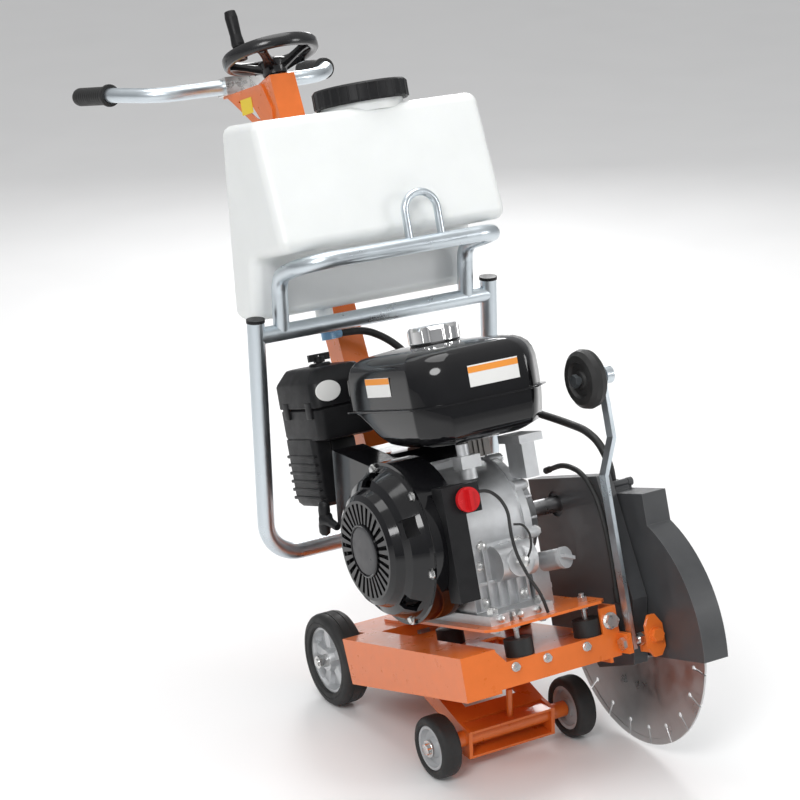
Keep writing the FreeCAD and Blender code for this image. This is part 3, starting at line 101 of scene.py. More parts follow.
def material(name, color, rough, metallic=0.0, vary=0.12, grain=40.0, bump=0.15, bump_scale=500.0, coat=0.0,
             edge_wear_and_highlight=None, edge_wear_and_highlight_amount=0.5, dirt=0.0, specular=0.5, rough_vary=0.12, subsurface=0.0):
    """A procedural finish: colour and roughness clouds, fine bump, lighter edges that are partly wear and
    partly a painted highlight, and a little dirt.
    """
    mat = bpy.data.materials.new(name)
    mat.use_nodes = True
    tree = mat.node_tree
    tree.nodes.clear()
    new = tree.nodes.new
    out = new("ShaderNodeOutputMaterial")
    shader = new("ShaderNodeBsdfPrincipled")
    link(tree, shader, "BSDF", out, "Surface")
    shader.inputs["Metallic"].default_value = metallic
    shader.inputs["Coat Weight"].default_value = coat
    shader.inputs["Coat Roughness"].default_value = 0.06
    shader.inputs["Specular IOR Level"].default_value = specular
    if subsurface:
        shader.inputs["Subsurface Weight"].default_value = subsurface
        shader.inputs["Subsurface Radius"].default_value = (0.02, 0.02, 0.018)
    coords = new("ShaderNodeTexCoord")
    mapping = new("ShaderNodeMapping")
    link(tree, coords, "Object", mapping, "Vector")
    cloud = new("ShaderNodeTexNoise")
    cloud.inputs["Scale"].default_value = grain
    cloud.inputs["Detail"].default_value = 6
    cloud.inputs["Roughness"].default_value = 0.6
    link(tree, mapping, "Vector", cloud, "Vector")
    fine = new("ShaderNodeTexNoise")
    fine.inputs["Scale"].default_value = bump_scale
    fine.inputs["Detail"].default_value = 3
    link(tree, mapping, "Vector", fine, "Vector")
    ramp = new("ShaderNodeValToRGB")
    ramp.color_ramp.elements[0].position = 0.25
    ramp.color_ramp.elements[1].position = 0.75
    low = [c * (1 - vary) for c in color]
    high = [min(1.0, c * (1 + vary)) for c in color]
    ramp.color_ramp.elements[0].color = (*low, 1)
    ramp.color_ramp.elements[1].color = (*high, 1)
    link(tree, cloud, "Fac", ramp, "Fac")
    last = ramp
    if dirt:
        large = new("ShaderNodeTexNoise")
        large.inputs["Scale"].default_value = 9
        large.inputs["Detail"].default_value = 8
        link(tree, coords, "Object", large, "Vector")
        mask = new("ShaderNodeMapRange")
        mask.inputs["From Min"].default_value = 0.52
        mask.inputs["From Max"].default_value = 0.75
        mask.inputs["To Max"].default_value = dirt
        link(tree, large, "Fac", mask, "Value")
        mix = new("ShaderNodeMix")
        mix.data_type = "RGBA"
        mix.inputs[7].default_value = (*DUST_COLOUR, 1)
        tree.links.new(mask.outputs["Result"], mix.inputs[0])
        tree.links.new(last.outputs[0], mix.inputs[6])
        last = mix
    # Edges are mixed towards a lighter colour than the base: partly edge wear, partly a painted edge
    # highlight.
    if edge_wear_and_highlight is not None:
        soft = new("ShaderNodeBevel")
        soft.samples = 4
        soft.inputs["Radius"].default_value = EDGE_WEAR_AND_HIGHLIGHT_RADIUS
        geometry = new("ShaderNodeNewGeometry")
        dot = new("ShaderNodeVectorMath")
        dot.operation = "DOT_PRODUCT"
        link(tree, soft, "Normal", dot, 0)
        link(tree, geometry, "Normal", dot, 1)
        mask = new("ShaderNodeMapRange")
        mask.inputs["From Min"].default_value = 0.985
        mask.inputs["From Max"].default_value = 0.90
        mask.inputs["To Max"].default_value = edge_wear_and_highlight_amount
        tree.links.new(dot.outputs["Value"], mask.inputs["Value"])
        mix = new("ShaderNodeMix")
        mix.data_type = "RGBA"
        mix.inputs[7].default_value = (*edge_wear_and_highlight, 1)
        tree.links.new(mask.outputs["Result"], mix.inputs[0])
        tree.links.new(last.outputs[2 if last.bl_idname == "ShaderNodeMix" else 0], mix.inputs[6])
        last = mix
    colour_out = last.outputs[2] if last.bl_idname == "ShaderNodeMix" else last.outputs[0]
    tree.links.new(colour_out, shader.inputs["Base Color"])
    spread = new("ShaderNodeMapRange")
    spread.inputs["From Min"].default_value = 0.3
    spread.inputs["From Max"].default_value = 0.7
    spread.inputs["To Min"].default_value = max(0.02, rough - rough_vary)
    spread.inputs["To Max"].default_value = min(1.0, rough + rough_vary)
    link(tree, cloud, "Fac", spread, "Value")
    link(tree, spread, "Result", shader, "Roughness")
    height = new("ShaderNodeBump")
    height.inputs["Strength"].default_value = bump
    height.inputs["Distance"].default_value = 0.0004
    link(tree, fine, "Fac", height, "Height")
    link(tree, height, "Normal", shader, "Normal")
    return mat


# Each edge colour below is lighter than its base colour: worn edges together with a painted edge highlight.
M = {
    "orange_paint": material("orange_paint", (0.76, 0.165, 0.022), 0.30, vary=0.05, bump=0.10,
                             bump_scale=900,
                             coat=0.35, edge_wear_and_highlight=(0.80, 0.24, 0.06), edge_wear_and_highlight_amount=0.12, rough_vary=0.04),
    "dark_grey_paint": material("dark_grey_paint", (0.050, 0.052, 0.055), 0.42, vary=0.10, bump=0.12,
                                bump_scale=1100, coat=0.15, edge_wear_and_highlight=(0.16, 0.16, 0.16), edge_wear_and_highlight_amount=0.4,
                                dirt=0.02,
                                rough_vary=0.08),
    "black_paint": material("black_paint", (0.006, 0.006, 0.007), 0.10, vary=0.2, bump=0.03, bump_scale=300,
                            coat=0.45, specular=0.25, edge_wear_and_highlight=(0.03, 0.03, 0.03), edge_wear_and_highlight_amount=0.2,
                            rough_vary=0.03),
    "zinc_tube": material("zinc_tube", (0.64, 0.70, 0.74), 0.33, metallic=1.0, vary=0.05, grain=22,
                          bump=0.10,
                          bump_scale=700, rough_vary=0.08),
    "zinc_hardware": material("zinc_hardware", (0.70, 0.70, 0.69), 0.30, metallic=1.0, vary=0.08, grain=60,
                              bump=0.12, bump_scale=900, edge_wear_and_highlight=(0.85, 0.85, 0.84), rough_vary=0.10),
    "machined_steel": material("machined_steel", (0.48, 0.48, 0.49), 0.34, metallic=1.0, vary=0.10,
                               grain=70,
                               bump=0.10, rough_vary=0.10),
    "cast_aluminium": material("cast_aluminium", (0.60, 0.61, 0.62), 0.42, metallic=0.85, vary=0.10,
                               grain=55,
                               bump=0.55, bump_scale=1500, edge_wear_and_highlight=(0.80, 0.80, 0.80), edge_wear_and_highlight_amount=0.5,
                               dirt=0.10,
                               rough_vary=0.10),
    "cast_iron": material("cast_iron", (0.12, 0.12, 0.125), 0.55, metallic=0.7, vary=0.15, grain=50,
                          bump=0.5,
                          bump_scale=1200),
    "heat_guard": material("heat_guard", (0.20, 0.19, 0.18), 0.45, metallic=0.9, vary=0.25, grain=30,
                           bump=0.25,
                           bump_scale=700),
    "chrome": material("chrome", (0.80, 0.80, 0.80), 0.10, metallic=1.0, vary=0.05, grain=30, bump=0.03,
                       rough_vary=0.05),
    "black_plastic": material("black_plastic", (0.009, 0.009, 0.010), 0.42, vary=0.2, grain=50, bump=0.25,
                              bump_scale=1800, specular=0.28, edge_wear_and_highlight=(0.04, 0.04, 0.04), edge_wear_and_highlight_amount=0.3,
                              rough_vary=0.08),
    "black_rubber": material("black_rubber", (0.013, 0.013, 0.013), 0.55, vary=0.25, grain=60, bump=0.35,
                             bump_scale=1500, dirt=0.02),
    "tyre_rubber": material("tyre_rubber", (0.016, 0.016, 0.016), 0.62, vary=0.25, grain=60, bump=0.40,
                            bump_scale=1400, dirt=0.05),
    "tank_plastic": material("tank_plastic", (0.84, 0.86, 0.85), 0.34, vary=0.02, grain=14, bump=0.18,
                             bump_scale=260, subsurface=0.35, rough_vary=0.05),
    "blue_plastic": material("blue_plastic", (0.30, 0.55, 0.80), 0.28, vary=0.06, grain=30, bump=0.08),
    "red_plastic": material("red_plastic", (0.60, 0.012, 0.016), 0.25, vary=0.08, grain=30, bump=0.06,
                            coat=0.3),
    "wire_cover": material("wire_cover", (0.020, 0.020, 0.020), 0.38, vary=0.10, grain=40, bump=0.06),
    "blade_steel": material("blade_steel", (0.52, 0.52, 0.52), 0.36, metallic=1.0, vary=0.12, grain=26,
                            bump=0.18,
                            bump_scale=600, rough_vary=0.12, dirt=0.04),
    "hub_silver": material("hub_silver", (0.55, 0.56, 0.57), 0.36, metallic=0.6, vary=0.08, grain=50,
                           bump=0.3,
                           bump_scale=1300, edge_wear_and_highlight=(0.7, 0.7, 0.7)),
    "black_gloss_plastic": material("black_gloss_plastic", (0.010, 0.010, 0.011), 0.24, vary=0.2, grain=40,
                                    bump=0.15, bump_scale=1200, coat=0.25, rough_vary=0.05),
    "hub_grey": material("hub_grey", (0.42, 0.43, 0.44), 0.42, vary=0.06, grain=50, bump=0.25,
                         bump_scale=1500),
    "badge_grey": material("badge_grey", (0.045, 0.045, 0.048), 0.38, vary=0.10, grain=50, bump=0.10),
    "label_white": material("label_white", (0.80, 0.80, 0.78), 0.42, vary=0.02, grain=30, bump=0.03),
    "label_orange": material("label_orange", (0.85, 0.30, 0.03), 0.42, vary=0.03, grain=30, bump=0.03),
    "label_yellow": material("label_yellow", (0.85, 0.62, 0.03), 0.42, vary=0.03, grain=30, bump=0.03),
}


# ---------------------------------------------------------------- finish every carried-over node
SPECIAL = {"oil_cap": "hub_grey", "valve_cover": "black_paint", "flywheel": "cast_iron"}


def finish_nodes():
    slots = {entry["node"]: entry["material_slot"] for entry in frame["record"]["subparts"]}
    for name, obj in NODES.items():
        obj.data.materials.clear()
        obj.data.materials.append(M[SPECIAL.get(name, slots[name])])


finish_nodes()


# ---------------------------------------------------------------- mesh helpers
def smooth(mesh, angle=40):
    mesh.shade_smooth()
    mesh.set_sharp_from_angle(angle=math.radians(angle))


def piece(name, maker, mat, body, place=None, angle=40):
    """Turn a bmesh into a finished piece that rides on a body."""
    mesh = bpy.data.meshes.new(name)
    bmesh.ops.recalc_face_normals(maker, faces=maker.faces)
    maker.to_mesh(mesh)
    maker.free()
    if place is not None:
        mesh.transform(place)
        if place.determinant() < 0:
            mesh.flip_normals()
    smooth(mesh, angle)
    obj = bpy.data.objects.new(name, mesh)
    scene.collection.objects.link(obj)
    mesh.materials.append(M[mat])
    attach(obj, body)
    return obj


def add_lathe(maker, profile, steps=72, place=Matrix()):
    """A closed ring of revolution from a closed (radius, height) profile in metres."""
    rings = []
    for i in range(steps):
        angle = 2 * math.pi * i / steps
        c, s = math.cos(angle), math.sin(angle)
        rings.append([maker.verts.new(place @ Vector((r * c, r * s, h))) for r, h in profile])
    for i in range(steps):
        a, b = rings[i], rings[(i + 1) % steps]
        for j in range(len(profile)):
            k = (j + 1) % len(profile)
            maker.faces.new((a[j], a[k], b[k], b[j]))


def add_disc(maker, profile, steps=72, place=Matrix()):
    """A solid of revolution whose open (radius, height) profile starts and ends on the axis."""
    inner = profile[1:-1]
    rings = []
    for i in range(steps):
        angle = 2 * math.pi * i / steps
        c, s = math.cos(angle), math.sin(angle)
        rings.append([maker.verts.new(place @ Vector((r * c, r * s, h))) for r, h in inner])
    first = maker.verts.new(place @ Vector((0, 0, profile[0][1])))
    last = maker.verts.new(place @ Vector((0, 0, profile[-1][1])))
    for i in range(steps):
        a, b = rings[i], rings[(i + 1) % steps]
        maker.faces.new((first, a[0], b[0]))
        for j in range(len(inner) - 1):
            maker.faces.new((a[j], a[j + 1], b[j + 1], b[j]))
        maker.faces.new((a[-1], last, b[-1]))


def add_hex(maker, radius, height, place=Matrix(), chamfer=0.0008):
    """A hexagon head or nut with a turned chamfer, standing on local Z = 0."""
    steps = 6
    rows = []
    for z, r in ((0, radius), (height - chamfer, radius), (height, radius - 1.6 * chamfer)):
        points = [(r * math.cos(math.pi * k / 3), r * math.sin(math.pi * k / 3), z) for k in range(steps)]
        rows.append([maker.verts.new(place @ Vector(point)) for point in points])
    for low, high in zip(rows, rows[1:]):
        for k in range(steps):
            n = (k + 1) % steps
            maker.faces.new((low[k], low[n], high[n], high[k]))
    maker.faces.new(rows[0][::-1])
    maker.faces.new(rows[-1])


def add_block(maker, low, high, place=Matrix(), bevel=0.0, segments=2):
    """A box between two corners with rounded edges."""
    made = bmesh.ops.create_cube(maker, size=1)["verts"]
    size = Vector(high) - Vector(low)
    middle = (Vector(high) + Vector(low)) / 2
    for v in made:
        v.co = middle + Vector((v.co.x * size.x, v.co.y * size.y, v.co.z * size.z))
    if bevel:
        edges = list({e for v in made for e in v.link_edges})
        result = bmesh.ops.bevel(maker, geom=edges, offset=bevel, segments=segments, affect="EDGES",
                                 profile=0.5)
        made = list({v for f in result["faces"] for v in f.verts} | {v for v in made if v.is_valid})
    group = set(made)
    todo = list(made)
    while todo:
        v = todo.pop()
        for e in v.link_edges:
            other = e.other_vert(v)
            if other not in group:
                group.add(other)
                todo.append(other)
    for v in group:
        v.co = place @ v.co


def mm(*pairs):
    return [(r / 1000, h / 1000) for r, h in pairs]


# ---------------------------------------------------------------- wheels
def hub_height(radius, angle, spokes):
    """Height in mm of the cast hub's outer face: boss, spokes, deep pockets and a raised lip."""
    def step(a, b, x):
        t = min(1, max(0, (x - a) / (b - a)))
        return t * t * (3 - 2 * t)
    boss = 1 - step(17, 19.5, radius)
    lip = step(46.5, 48.5, radius)
    turn = (angle * spokes / (2 * math.pi)) % 1
    off = min(turn, 1 - turn) * 2 * math.pi / spokes * radius
    spoke = 1 - step(5.5 + radius * 0.05, 8.0 + radius * 0.05, off)
    web = 1.5 + 8.5 * max(spoke, 0)
    web = web * (1 - lip) + 15.5 * lip
    return web * (1 - boss) + 18.5 * boss


def rear_wheel(side, body):
    sign = 1 if side == "left" else -1
    place = turned(sign * 128, 0, 0, (sign, 0, 0))
    tyre = bmesh.new()
    add_lathe(tyre, mm((53, -18), (54.5, -20.4), (57.5, -21.2), (60.2, -21.3), (60.8, -20.7), (62.2, -20.7),
                       (62.8, -21.6), (67.5, -21.2), (70.8, -19.6), (73.2, -16.6), (74.4, -12), (74.4,
                                                                                                 -8.6),
                       (73.6, -8.2), (73.6, -6.8), (74.4, -6.4), (74.4, 6.4), (73.6, 6.8), (73.6, 8.2),
                       (74.4, 8.6),
                       (74.4, 12), (73.2, 16.6), (70.8, 19.6), (67.5, 21.2), (62.8, 21.6), (62.2, 20.7),
                       (60.8, 20.7), (60.2, 21.3), (57.5, 21.2), (54.5, 20.4), (53, 18)), 120)
    tyre_piece = piece("rear_tyre_" + side, tyre, "tyre_rubber", body, place)
    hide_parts("rear_wheel_" + side)
    hub = bmesh.new()
    around, across = 240, 34
    inner, outer = 10.3, 54.2
    front, back = [], []
    for i in range(around):
        angle = 2 * math.pi * i / around
        c, s = math.cos(angle), math.sin(angle)
        row, under = [], []
        for j in range(across + 1):
            r = inner + (outer - inner) * j / across
            h = hub_height(r, angle, 5)
            row.append(hub.verts.new((r * c / 1000, r * s / 1000, h / 1000)))
            under.append(hub.verts.new((r * c / 1000, r * s / 1000, -h / 1000)))
        front.append(row)
        back.append(under)
    for i in range(around):
        n = (i + 1) % around
        for j in range(across):
            hub.faces.new((front[i][j], front[i][j + 1], front[n][j + 1], front[n][j]))
            hub.faces.new((back[i][j], back[n][j], back[n][j + 1], back[i][j + 1]))
        hub.faces.new((front[i][0], front[n][0], back[n][0], back[i][0]))
        hub.faces.new((front[i][-1], back[i][-1], back[n][-1], front[n][-1]))
    hub_piece = piece("rear_hub_" + side, hub, "hub_silver", body, place, 30)
    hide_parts("rear_wheel_" + side)


def front_wheel(side, body):
    sign = 1 if side == "left" else -1
    place = turned(sign * 119.5, FRONT_AXLE_Y, FRONT_AXLE_Z, (sign, 0, 0))
    tyre = bmesh.new()
    add_lathe(tyre, mm((34, -13), (35.5, -15.3), (38, -16.1), (42, -16), (45, -14), (46.7, -11), (47.4, -7),
                       (47.4, 7), (46.7, 11), (45, 14), (42, 16), (38, 16.1), (35.5, 15.3), (34, 13)), 96)
    tyre_piece = piece("front_tyre_" + side, tyre, "tyre_rubber", body, place)
    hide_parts("front_wheel_" + side)
    ring = bmesh.new()
    add_lathe(ring, mm((8.3, -12), (14, -12), (15, -6), (27, -5), (29, -11.5), (34.4, -12.5), (34.4,
                                                                                               12.5), (33, 14),
                       (29.5, 13.6), (28.2, 9), (26, 6), (16.5, 6.6), (15, 9), (14, 13.6), (8.3, 13.6)), 96)
    ring_piece = piece("front_hub_" + side, ring, "hub_grey", body, place)
    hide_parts("front_wheel_" + side)
    nut = bmesh.new()
    outward = turned(sign * 136.1, FRONT_AXLE_Y, FRONT_AXLE_Z, (sign, 0, 0))
    add_lathe(nut, mm((8.2, 0), (13.0, 0), (13.4, 0.5), (13.0, 1.2), (8.2, 1.2)), 40, outward)
    add_hex(nut, 0.0096, 0.0062, outward)
    piece("front_axle_nut_" + side, nut, "zinc_hardware", "carrier", None)


for wheel_side in ("right", "left"):
    rear_wheel(wheel_side, "rear_wheel_" + wheel_side)
    front_wheel(wheel_side, "front_wheel_" + wheel_side)


# ---------------------------------------------------------------- starter cover
def starter_details():
    """Plain centre badge, a stepped rim and the fixing screws of the starter cover."""
    face = turned(-190.2, CRANK_Y, CRANK_Z, (-1, 0, 0))
    maker = bmesh.new()
    add_disc(maker, mm((0, 1.6), (30, 1.6), (34, 1.2), (36, 0.2), (36, -1.5), (0, -1.5)), 64, face)
    piece("starter_badge", maker, "badge_grey", "chassis", None)
    maker = bmesh.new()
    add_lathe(maker, mm((36.4, -1), (36.4, 1.2), (38, 2.0), (39.6, 1.2), (39.6, -1)), 72, face)
    piece("starter_badge_ring", maker, "black_paint", "chassis", None)
    maker = bmesh.new()
    for k in range(6):
        angle = 2 * math.pi * k / 6 + 0.35
        y, z = CRANK_Y + 112.5 * math.cos(angle), CRANK_Z + 112.5 * math.sin(angle)
        spot = turned(-143.6, y, z, (-1, 0, 0))
        add_hex(maker, 0.0062, 0.0046, spot)
        add_lathe(maker, mm((3, -0.6), (8.2, -0.6), (8.2, 0.6), (3, 0.6)), 24, spot)
    piece("starter_bolts", maker, "zinc_hardware", "chassis", None)


# ---------------------------------------------------------------- engine castings
def engine_details():
    """Cover bolts, cast ribs, bosses and a sealing flange of the engine."""
    maker = bmesh.new()
    for k in range(8):
        angle = 2 * math.pi * k / 8 + 0.2
        y, z = CRANK_Y + 92 * math.cos(angle), CRANK_Z + 92 * math.sin(angle)
        if z > 105:
            spot = turned(47, y, z, (1, 0, 0))
            add_hex(maker, 0.0066, 0.0056, spot)
            add_lathe(maker, mm((3, 0), (8.4, 0), (8.6, 0.9), (3, 0.9)), 28, spot)
    for y, z in ((-372, 96), (-300, 92), (-236, 96)):
        spot = turned(57, y, z, (1, 0, 0))
        add_hex(maker, 0.0066, 0.0056, spot)
    for x in (-62, -30, 0):
        spot = turned(x, -430, 77, (0, -1, 0))
        add_hex(maker, 0.0052, 0.0046, spot)
    for x, z in ((-58, 96), (-58, 150), (10, 96), (12, 172), (-48, 178)):
        spot = turned(x, -384, z, (0, -1, 0))
        add_hex(maker, 0.0058, 0.005, spot)
        add_lathe(maker, mm((3, 0), (8.6, 0), (8.6, 1.6), (3, 1.6)), 28, spot)
    piece("engine_bolts", maker, "zinc_hardware", "chassis", None)
    maker = bmesh.new()
    for k in range(11):
        angle = math.radians(-60 + 24 * k)
        centre = CHASSIS @ Matrix.Translation(Vector((39, CRANK_Y, CRANK_Z)) / 1000)
        centre = centre @ Matrix.Rotation(angle, 4, "X")
        add_block(maker, (0, 0.036, -0.0018), (0.0215, 0.079, 0.0018), centre, 0.0008)
    for x in (-66, -50, -34, -18, -2, 14):
        add_block(maker, (x / 1000 - 0.0016, -0.3905, 0.086), (x / 1000 + 0.0016, -0.380, 0.176),
                  CHASSIS, 0.0007)
    add_block(maker, (-0.076, -0.3885, 0.122), (0.024, -0.380, 0.127), CHASSIS, 0.001)
    add_block(maker, (0.0235, -0.392, 0.084), (0.0275, -0.200, 0.150), CHASSIS, 0.001)
    spot = turned(-10, -424, 150, (0, -1, 0))
    add_lathe(maker, mm((6, -2), (22, -2), (22, 2.2), (19, 3.4), (6, 3.4)), 48, spot)
    piece("engine_ribs", maker, "cast_aluminium", "chassis", None)
    maker = bmesh.new()
    add_hex(maker, 0.0088, 0.009, turned(-10, -427.2, 150, (0, -1, 0)))
    add_disc(maker, mm((0, 8), (6, 8), (7, 6.5), (7, 0), (0, 0)), 32, turned(78, CRANK_Y, CRANK_Z, (1, 0,
                                                                                                    0)))
    piece("engine_plugs", maker, "zinc_hardware", "chassis", None)


# ---------------------------------------------------------------- labels without any text
def label(name, mat, corner, across, up, size):
    """A thin blank label on a flat face: corner, two directions in the chassis frame and a size in mm."""
    maker = bmesh.new()
    across, up = Vector(across).normalized(), Vector(up).normalized()
    out = across.cross(up).normalized()
    place = CHASSIS @ Matrix.Translation(Vector(corner) / 1000) @ Matrix((across, up,
                                                                          out)).transposed().to_4x4()
    add_block(maker, (0, 0, 0), (size[0] / 1000, size[1] / 1000, 0.0005), place, 0.0002, 1)
    piece(name, maker, mat, "chassis", None)


def rounded(x0, x1, y0, y1, r, z, corner=range(0, 91, 15)):
    """One section of a loft in mm: a rounded rectangle at height z,
    with its corners at the given angles."""
    points = []
    for cx, cy, start in ((x1 - r, y1 - r, 0), (x0 + r, y1 - r, 90), (x0 + r, y0 + r, 180),
                          (x1 - r, y0 + r, 270)):
        for step in corner:
            angle = math.radians(start + step)
            points.append((cx + r * math.cos(angle), cy + r * math.sin(angle), z))
    return points


def add_loft(maker, sections, place=Matrix()):
    """A closed solid through sections that have the same number of points, in mm."""
    rows = [[maker.verts.new(place @ (Vector(p) / 1000)) for p in section] for section in sections]
    count = len(rows[0])
    for low, high in zip(rows, rows[1:]):
        for k in range(count):
            n = (k + 1) % count
            maker.faces.new((low[k], low[n], high[n], high[k]))
    maker.faces.new(rows[0][::-1])
    maker.faces.new(rows[-1])


# ---------------------------------------------------------------- fuel tank
def fuel_tank():
    z = 392
    bevel = (0, 4, 9, 81, 86, 90)
    maker = bmesh.new()
    upper = ((0, 44, 1), (0.6, 45, 22), (0.2, 45, 44), (-1.6, 46, 56), (-5, 47, 65), (-11, 48, 72), (-19,
                                                                                                     48, 76.5),
             (-34, 44, 79.6), (-56, 34, 81.6), (-84, 14, 83))
    sections = []
    for grow, r, h in upper:
        sections.append(rounded(-121 - grow, 96 + grow, -424 - grow, -157 + grow, r, z + h, bevel))
    add_loft(maker, sections, CHASSIS)
    lower = ((-62, -61, 20, 40), (-60, -59.5, 30, 30), (-54, -56, 34, 20), (-46, -50, 40, 8), (-34, -38,
                                                                                               44, 3),
             (-20, -18, 44, 0.8), (-10, -6, 44, 0), (0, -1, 44, 0))
    sections = []
    for rear, h, r, grow in lower:
        sections.append(rounded(-121 + grow, 96 - grow, -424 + grow, -159 + 2 * rear, r, z + h, bevel))
    add_loft(maker, sections, CHASSIS)
    rim = []
    for grow, h in ((6, -1.6), (7, -0.9), (7, 0.9), (6, 1.6)):
        rim.append(rounded(-121 - grow, 95 + grow, -424 - grow, -157 + grow, 46, z + h, bevel))
    add_loft(maker, rim, CHASSIS)
    add_lathe(maker, mm((28.5, -6), (46, -6), (46, -0.5), (44.5, 1.2), (41.5, 1.4), (39.5, 0.4), (36, -0.2),
                        (31, 3), (28.5, 3)), 72, turned(-6, -276, z + 81, (0, 0, 1)))
    obj = piece("fuel_tank_shell", maker, "black_paint", "chassis", None, 50)
    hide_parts("fuel_tank")


# ---------------------------------------------------------------- air cleaner
def air_cleaner():
    maker = bmesh.new()
    add_loft(maker, [
        rounded(-151, -45, -135, 3, 15, 404.6), rounded(-152, -44, -136, 4, 16, 406),
        rounded(-152, -44, -136, 4, 16, 440),
        rounded(-150.5, -45.5, -134.5, 2.5, 17, 444), rounded(-139, -57, -123, -9, 14, 460),
        rounded(-136, -60, -120, -12, 13, 463), rounded(-130, -66, -114, -18, 11, 464)], CHASSIS)
    add_lathe(maker, mm((4.2, 0), (17, 0), (17, 3.4), (15, 4.8), (4.2, 4.8)), 48, turned(-98, -66, 463.5,
                                                                                         (0, 0, 1)))
    obj = piece("air_cleaner_top", maker, "black_plastic", "chassis", None, 35)
    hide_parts("air_cleaner_lid")
    maker = bmesh.new()
    add_loft(maker, [
        rounded(-140, -56, -124, -8, 10, 352), rounded(-148, -48, -132, 0, 13, 355),
        rounded(-150, -46, -134, 2, 14, 362),
        rounded(-150, -46, -134, 2, 14, 400), rounded(-147, -49, -131, -1, 13, 403.6)], CHASSIS)
    add_loft(maker, [
        rounded(-143, -119, -92, -8, 6, 250), rounded(-148, -116, -98, -2, 9, 256),
        rounded(-150, -114, -100, 0, 10, 270),
        rounded(-150, -114, -100, 0, 10, 356)], CHASSIS)
    for k in range(6):
        z = 262 + 13 * k
        add_block(maker, (-0.1516, -0.0985, z / 1000), (-0.1130, -0.0015, (z + 5) / 1000), CHASSIS, 0.0014)
    add_block(maker, (-0.120, -0.098, 0.322), (-0.074, -0.042, 0.352), CHASSIS, 0.006, 3)
    add_lathe(maker, mm((0.5, 0), (5, 0), (5, 122), (3.4, 124), (0.5, 124)), 24, turned(-98, -66, 352,
                                                                                        (0, 0, 1)))
    for y in (-110, -30):
        add_block(maker, (-0.1535, (y - 9) / 1000, 0.388), (-0.149, (y + 9) / 1000, 0.414), CHASSIS, 0.0012)
    obj = piece("air_cleaner_housing", maker, "black_plastic", "chassis", None, 35)
    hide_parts("air_cleaner_body")
    maker = bmesh.new()
    badge = turned(-126, -136.6, 428, (0, -1, 0)) @ Matrix.Diagonal((1.35, 1, 1, 1))
    add_disc(maker, mm((0, 0.9), (14, 0.9), (15.5, 0.5), (16, -0.6), (0, -0.6)), 48, badge)
    piece("air_cleaner_badge", maker, "label_white", "chassis", None)


# ---------------------------------------------------------------- hand wheel
def hand_wheel():
    top_y = -53 + (HAND_WHEEL_Z - 41) * math.tan(COLUMN_LEAN)
    place = turned(0, top_y, HAND_WHEEL_Z, (0, math.sin(COLUMN_LEAN), math.cos(COLUMN_LEAN)))
    maker = bmesh.new()
    add_lathe(maker, mm((65.5, 31), (67.5, 28.4), (72, 27.2), (77, 28.2), (79.6, 31.5), (80, 38), (79.6,
                                                                                                   44.5),
                        (77, 47.8), (72, 48.8), (67.5, 47.6), (65.5, 45), (67.5, 43.4), (72, 43.6),
                        (74.5, 41),
                        (74.5, 35), (72, 32.6), (67.5, 32.8)), 120, place)
    add_lathe(maker, mm((8.1, 0.4), (18, 0.4), (20, 2), (21, 9), (25, 20), (25, 24), (23, 26), (15, 28),
                        (13, 30),
                        (8.1, 30)), 64, place)
    for k in range(5):
        turn = place @ Matrix.Rotation(2 * math.pi * k / 5 + 0.3, 4, "Z")
        for half, low in ((1.0, 0.0), (0.34, -5.0)):
            sections = []
            for r, w, h0, h1 in ((20, 11, 12, 20), (32, 8.5, 17, 24), (46, 7, 23, 29), (60, 7.5, 28, 34),
                                 (70, 10, 30, 36)):
                b0 = h0 + low
                b1 = h1 if low == 0 else h0 + 1
                w2 = w * half
                sections.append([(r, -w2, b0), (r, w2, b0), (r, w2 * 0.9, b1 - 1), (r, w2 * 0.75, b1),
                                 (r, -w2 * 0.75, b1), (r, -w2 * 0.9, b1 - 1)])
            add_loft(maker, sections, turn)
    grip_seat = place @ Matrix.Translation((-0.062, -0.020, 0.028))
    add_lathe(maker, mm((4.2, 0), (9.5, 0), (10.5, 6), (9.5, 21), (8.5, 22), (4.2, 22)), 40, grip_seat)
    obj = piece("hand_wheel_moulding", maker, "black_gloss_plastic", "depth_screw", None,
                38)
    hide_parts("handwheel")


# ---------------------------------------------------------------- starter handle
def starter_handle():
    maker = bmesh.new()
    stem = Vector((0, 0.93, 0.3)).normalized()
    place = turned(-176, -190, 228, stem)
    add_disc(maker, mm((0, 0), (5, 0), (6, 3), (6.5, 20), (8.5, 32), (12, 38), (9, 44), (0, 46)), 40, place)
    bar = turned(-176, -150 + 0.3 * 27, 241 - 0.954 * 27, (0, -0.3, 0.954)) @ Matrix.Diagonal((0.85, 1,
                                                                                               1, 1))
    add_disc(maker, mm((0, -1), (6, 0), (9.5, 4), (10.5, 14), (9.2, 27), (10.5, 40), (9.5, 50), (6, 54),
                       (0, 55)),
             40, bar)
    obj = piece("starter_handle", maker, "black_plastic", "starter_grip", None, 60)
    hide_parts("starter_grip")


# ---------------------------------------------------------------- handle grips
def grips():
    for side in (-1, 1):
        a = Vector((side * 202, 316, 956))
        b = Vector((side * 216, 435, 972))
        axis = (b - a).normalized()
        start = b + axis * 4 - axis * 112
        place = turned(*start, axis)
        profile = [(12.7, 0.4), (18.4, 0.4), (19, 1.5), (19, 5), (17.6, 7), (15.6, 9)]
        for k in range(11):
            h = 14 + 7.6 * k
            profile += [(15.6, h), (14.9, h + 1.2), (14.9, h + 2.4), (15.6, h + 3.6)]
        profile += [(15.6, 106), (14.6, 110), (11, 112), (1, 112.4), (1, 111), (12.7, 110)]
        maker = bmesh.new()
        add_lathe(maker, mm(*profile), 64, place)
        name = "right" if side < 0 else "left"
        obj = piece("handle_grip_" + name, maker, "black_rubber", "chassis", None, 50)
        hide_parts("handle_grips")


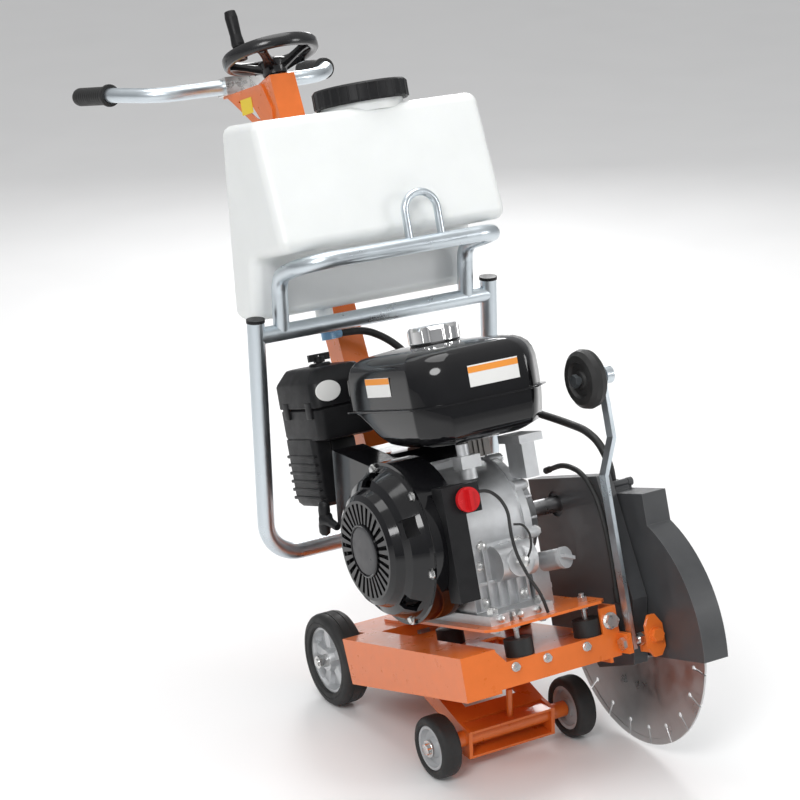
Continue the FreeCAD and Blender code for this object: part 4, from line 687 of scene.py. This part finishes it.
# ---------------------------------------------------------------- cylinder baffle
def cylinder_baffle():
    """Folded sheet over the cylinder fins, under the fuel tank."""
    maker = bmesh.new()
    roof = [(-86, -262, 300), (-86, -236, 322), (-86, -150, 326), (-86, -122, 318), (-86, -100, 296)]
    inner = [(x, y * 0.996 - 0.6, z - 1.6) for x, y, z in roof]
    ring = roof + inner[::-1]
    add_loft(maker, [ring, [(x + 104, y, z) for x, y, z in ring]], CHASSIS)
    piece("cylinder_baffle", maker, "black_paint", "chassis", None, 20)


starter_details()
engine_details()
fuel_tank()
air_cleaner()
hand_wheel()
starter_handle()
grips()
cylinder_baffle()
label("tank_label_front", "label_white", (-44, -424.9, 410), (1, 0, 0), (0, 0, 1), (84, 31))
label("tank_label_front_strip", "label_orange", (-44, -425.1, 430), (1, 0, 0), (0, 0, 1), (84, 9))
label("tank_label_side", "label_white", (-121.9, -256, 413), (0, -1, 0), (0, 0, 1), (74, 28))
label("tank_label_side_strip", "label_orange", (-122.1, -256, 431.5), (0, -1, 0), (0, 0, 1), (74, 9))
label("column_label", "label_yellow", (-26.3, 205, 884), (0, -1, 0), (0, 0, 1), (44, 26))


# ---------------------------------------------------------------- studio
def area(name, place, target, size, energy):
    data = bpy.data.lights.new(name, "AREA")
    data.shape = "DISK"
    data.size = size
    data.energy = energy
    lamp = bpy.data.objects.new(name, data)
    scene.collection.objects.link(lamp)
    lamp.location = place
    lamp.rotation_euler = (Vector(target) - Vector(place)).to_track_quat("-Z", "Y").to_euler()


def studio():
    mesh = bpy.data.meshes.new("floor")
    maker = bmesh.new()
    bmesh.ops.create_grid(maker, x_segments=4, y_segments=4, size=22)
    maker.to_mesh(mesh)
    maker.free()
    floor = bpy.data.objects.new("floor", mesh)
    scene.collection.objects.link(floor)
    floor.location.z = -0.0006
    mesh.materials.append(material("floor_paper", (0.90, 0.90, 0.90), 0.65, vary=0.006, grain=3, bump=0.01))
    world = bpy.data.worlds.new("studio")
    world.use_nodes = True
    tree = world.node_tree
    background = tree.nodes["Background"]
    coords = tree.nodes.new("ShaderNodeTexCoord")
    split = tree.nodes.new("ShaderNodeSeparateXYZ")
    ramp = tree.nodes.new("ShaderNodeValToRGB")
    ramp.color_ramp.elements[0].position = 0.0
    ramp.color_ramp.elements[0].color = (0.42, 0.43, 0.45, 1)
    ramp.color_ramp.elements[1].position = 0.8
    ramp.color_ramp.elements[1].color = (1, 1, 1, 1)
    link(tree, coords, "Generated", split, "Vector")
    link(tree, split, "Z", ramp, "Fac")
    link(tree, ramp, "Color", background, "Color")
    background.inputs["Strength"].default_value = 0.62
    scene.world = world
    scene.view_settings.view_transform = "Standard"
    area("key", (-2.4, -2.4, 2.9), (0, 0, 0.45), 1.5, 62)
    area("fill", (2.6, -2.6, 1.5), (0, 0, 0.5), 1.2, 22)
    area("top", (0.1, 0.3, 3.4), (0, 0, 0.3), 2.6, 48)
    area("rim", (1.6, 2.6, 1.8), (0, 0, 0.6), 1.2, 30)


studio()
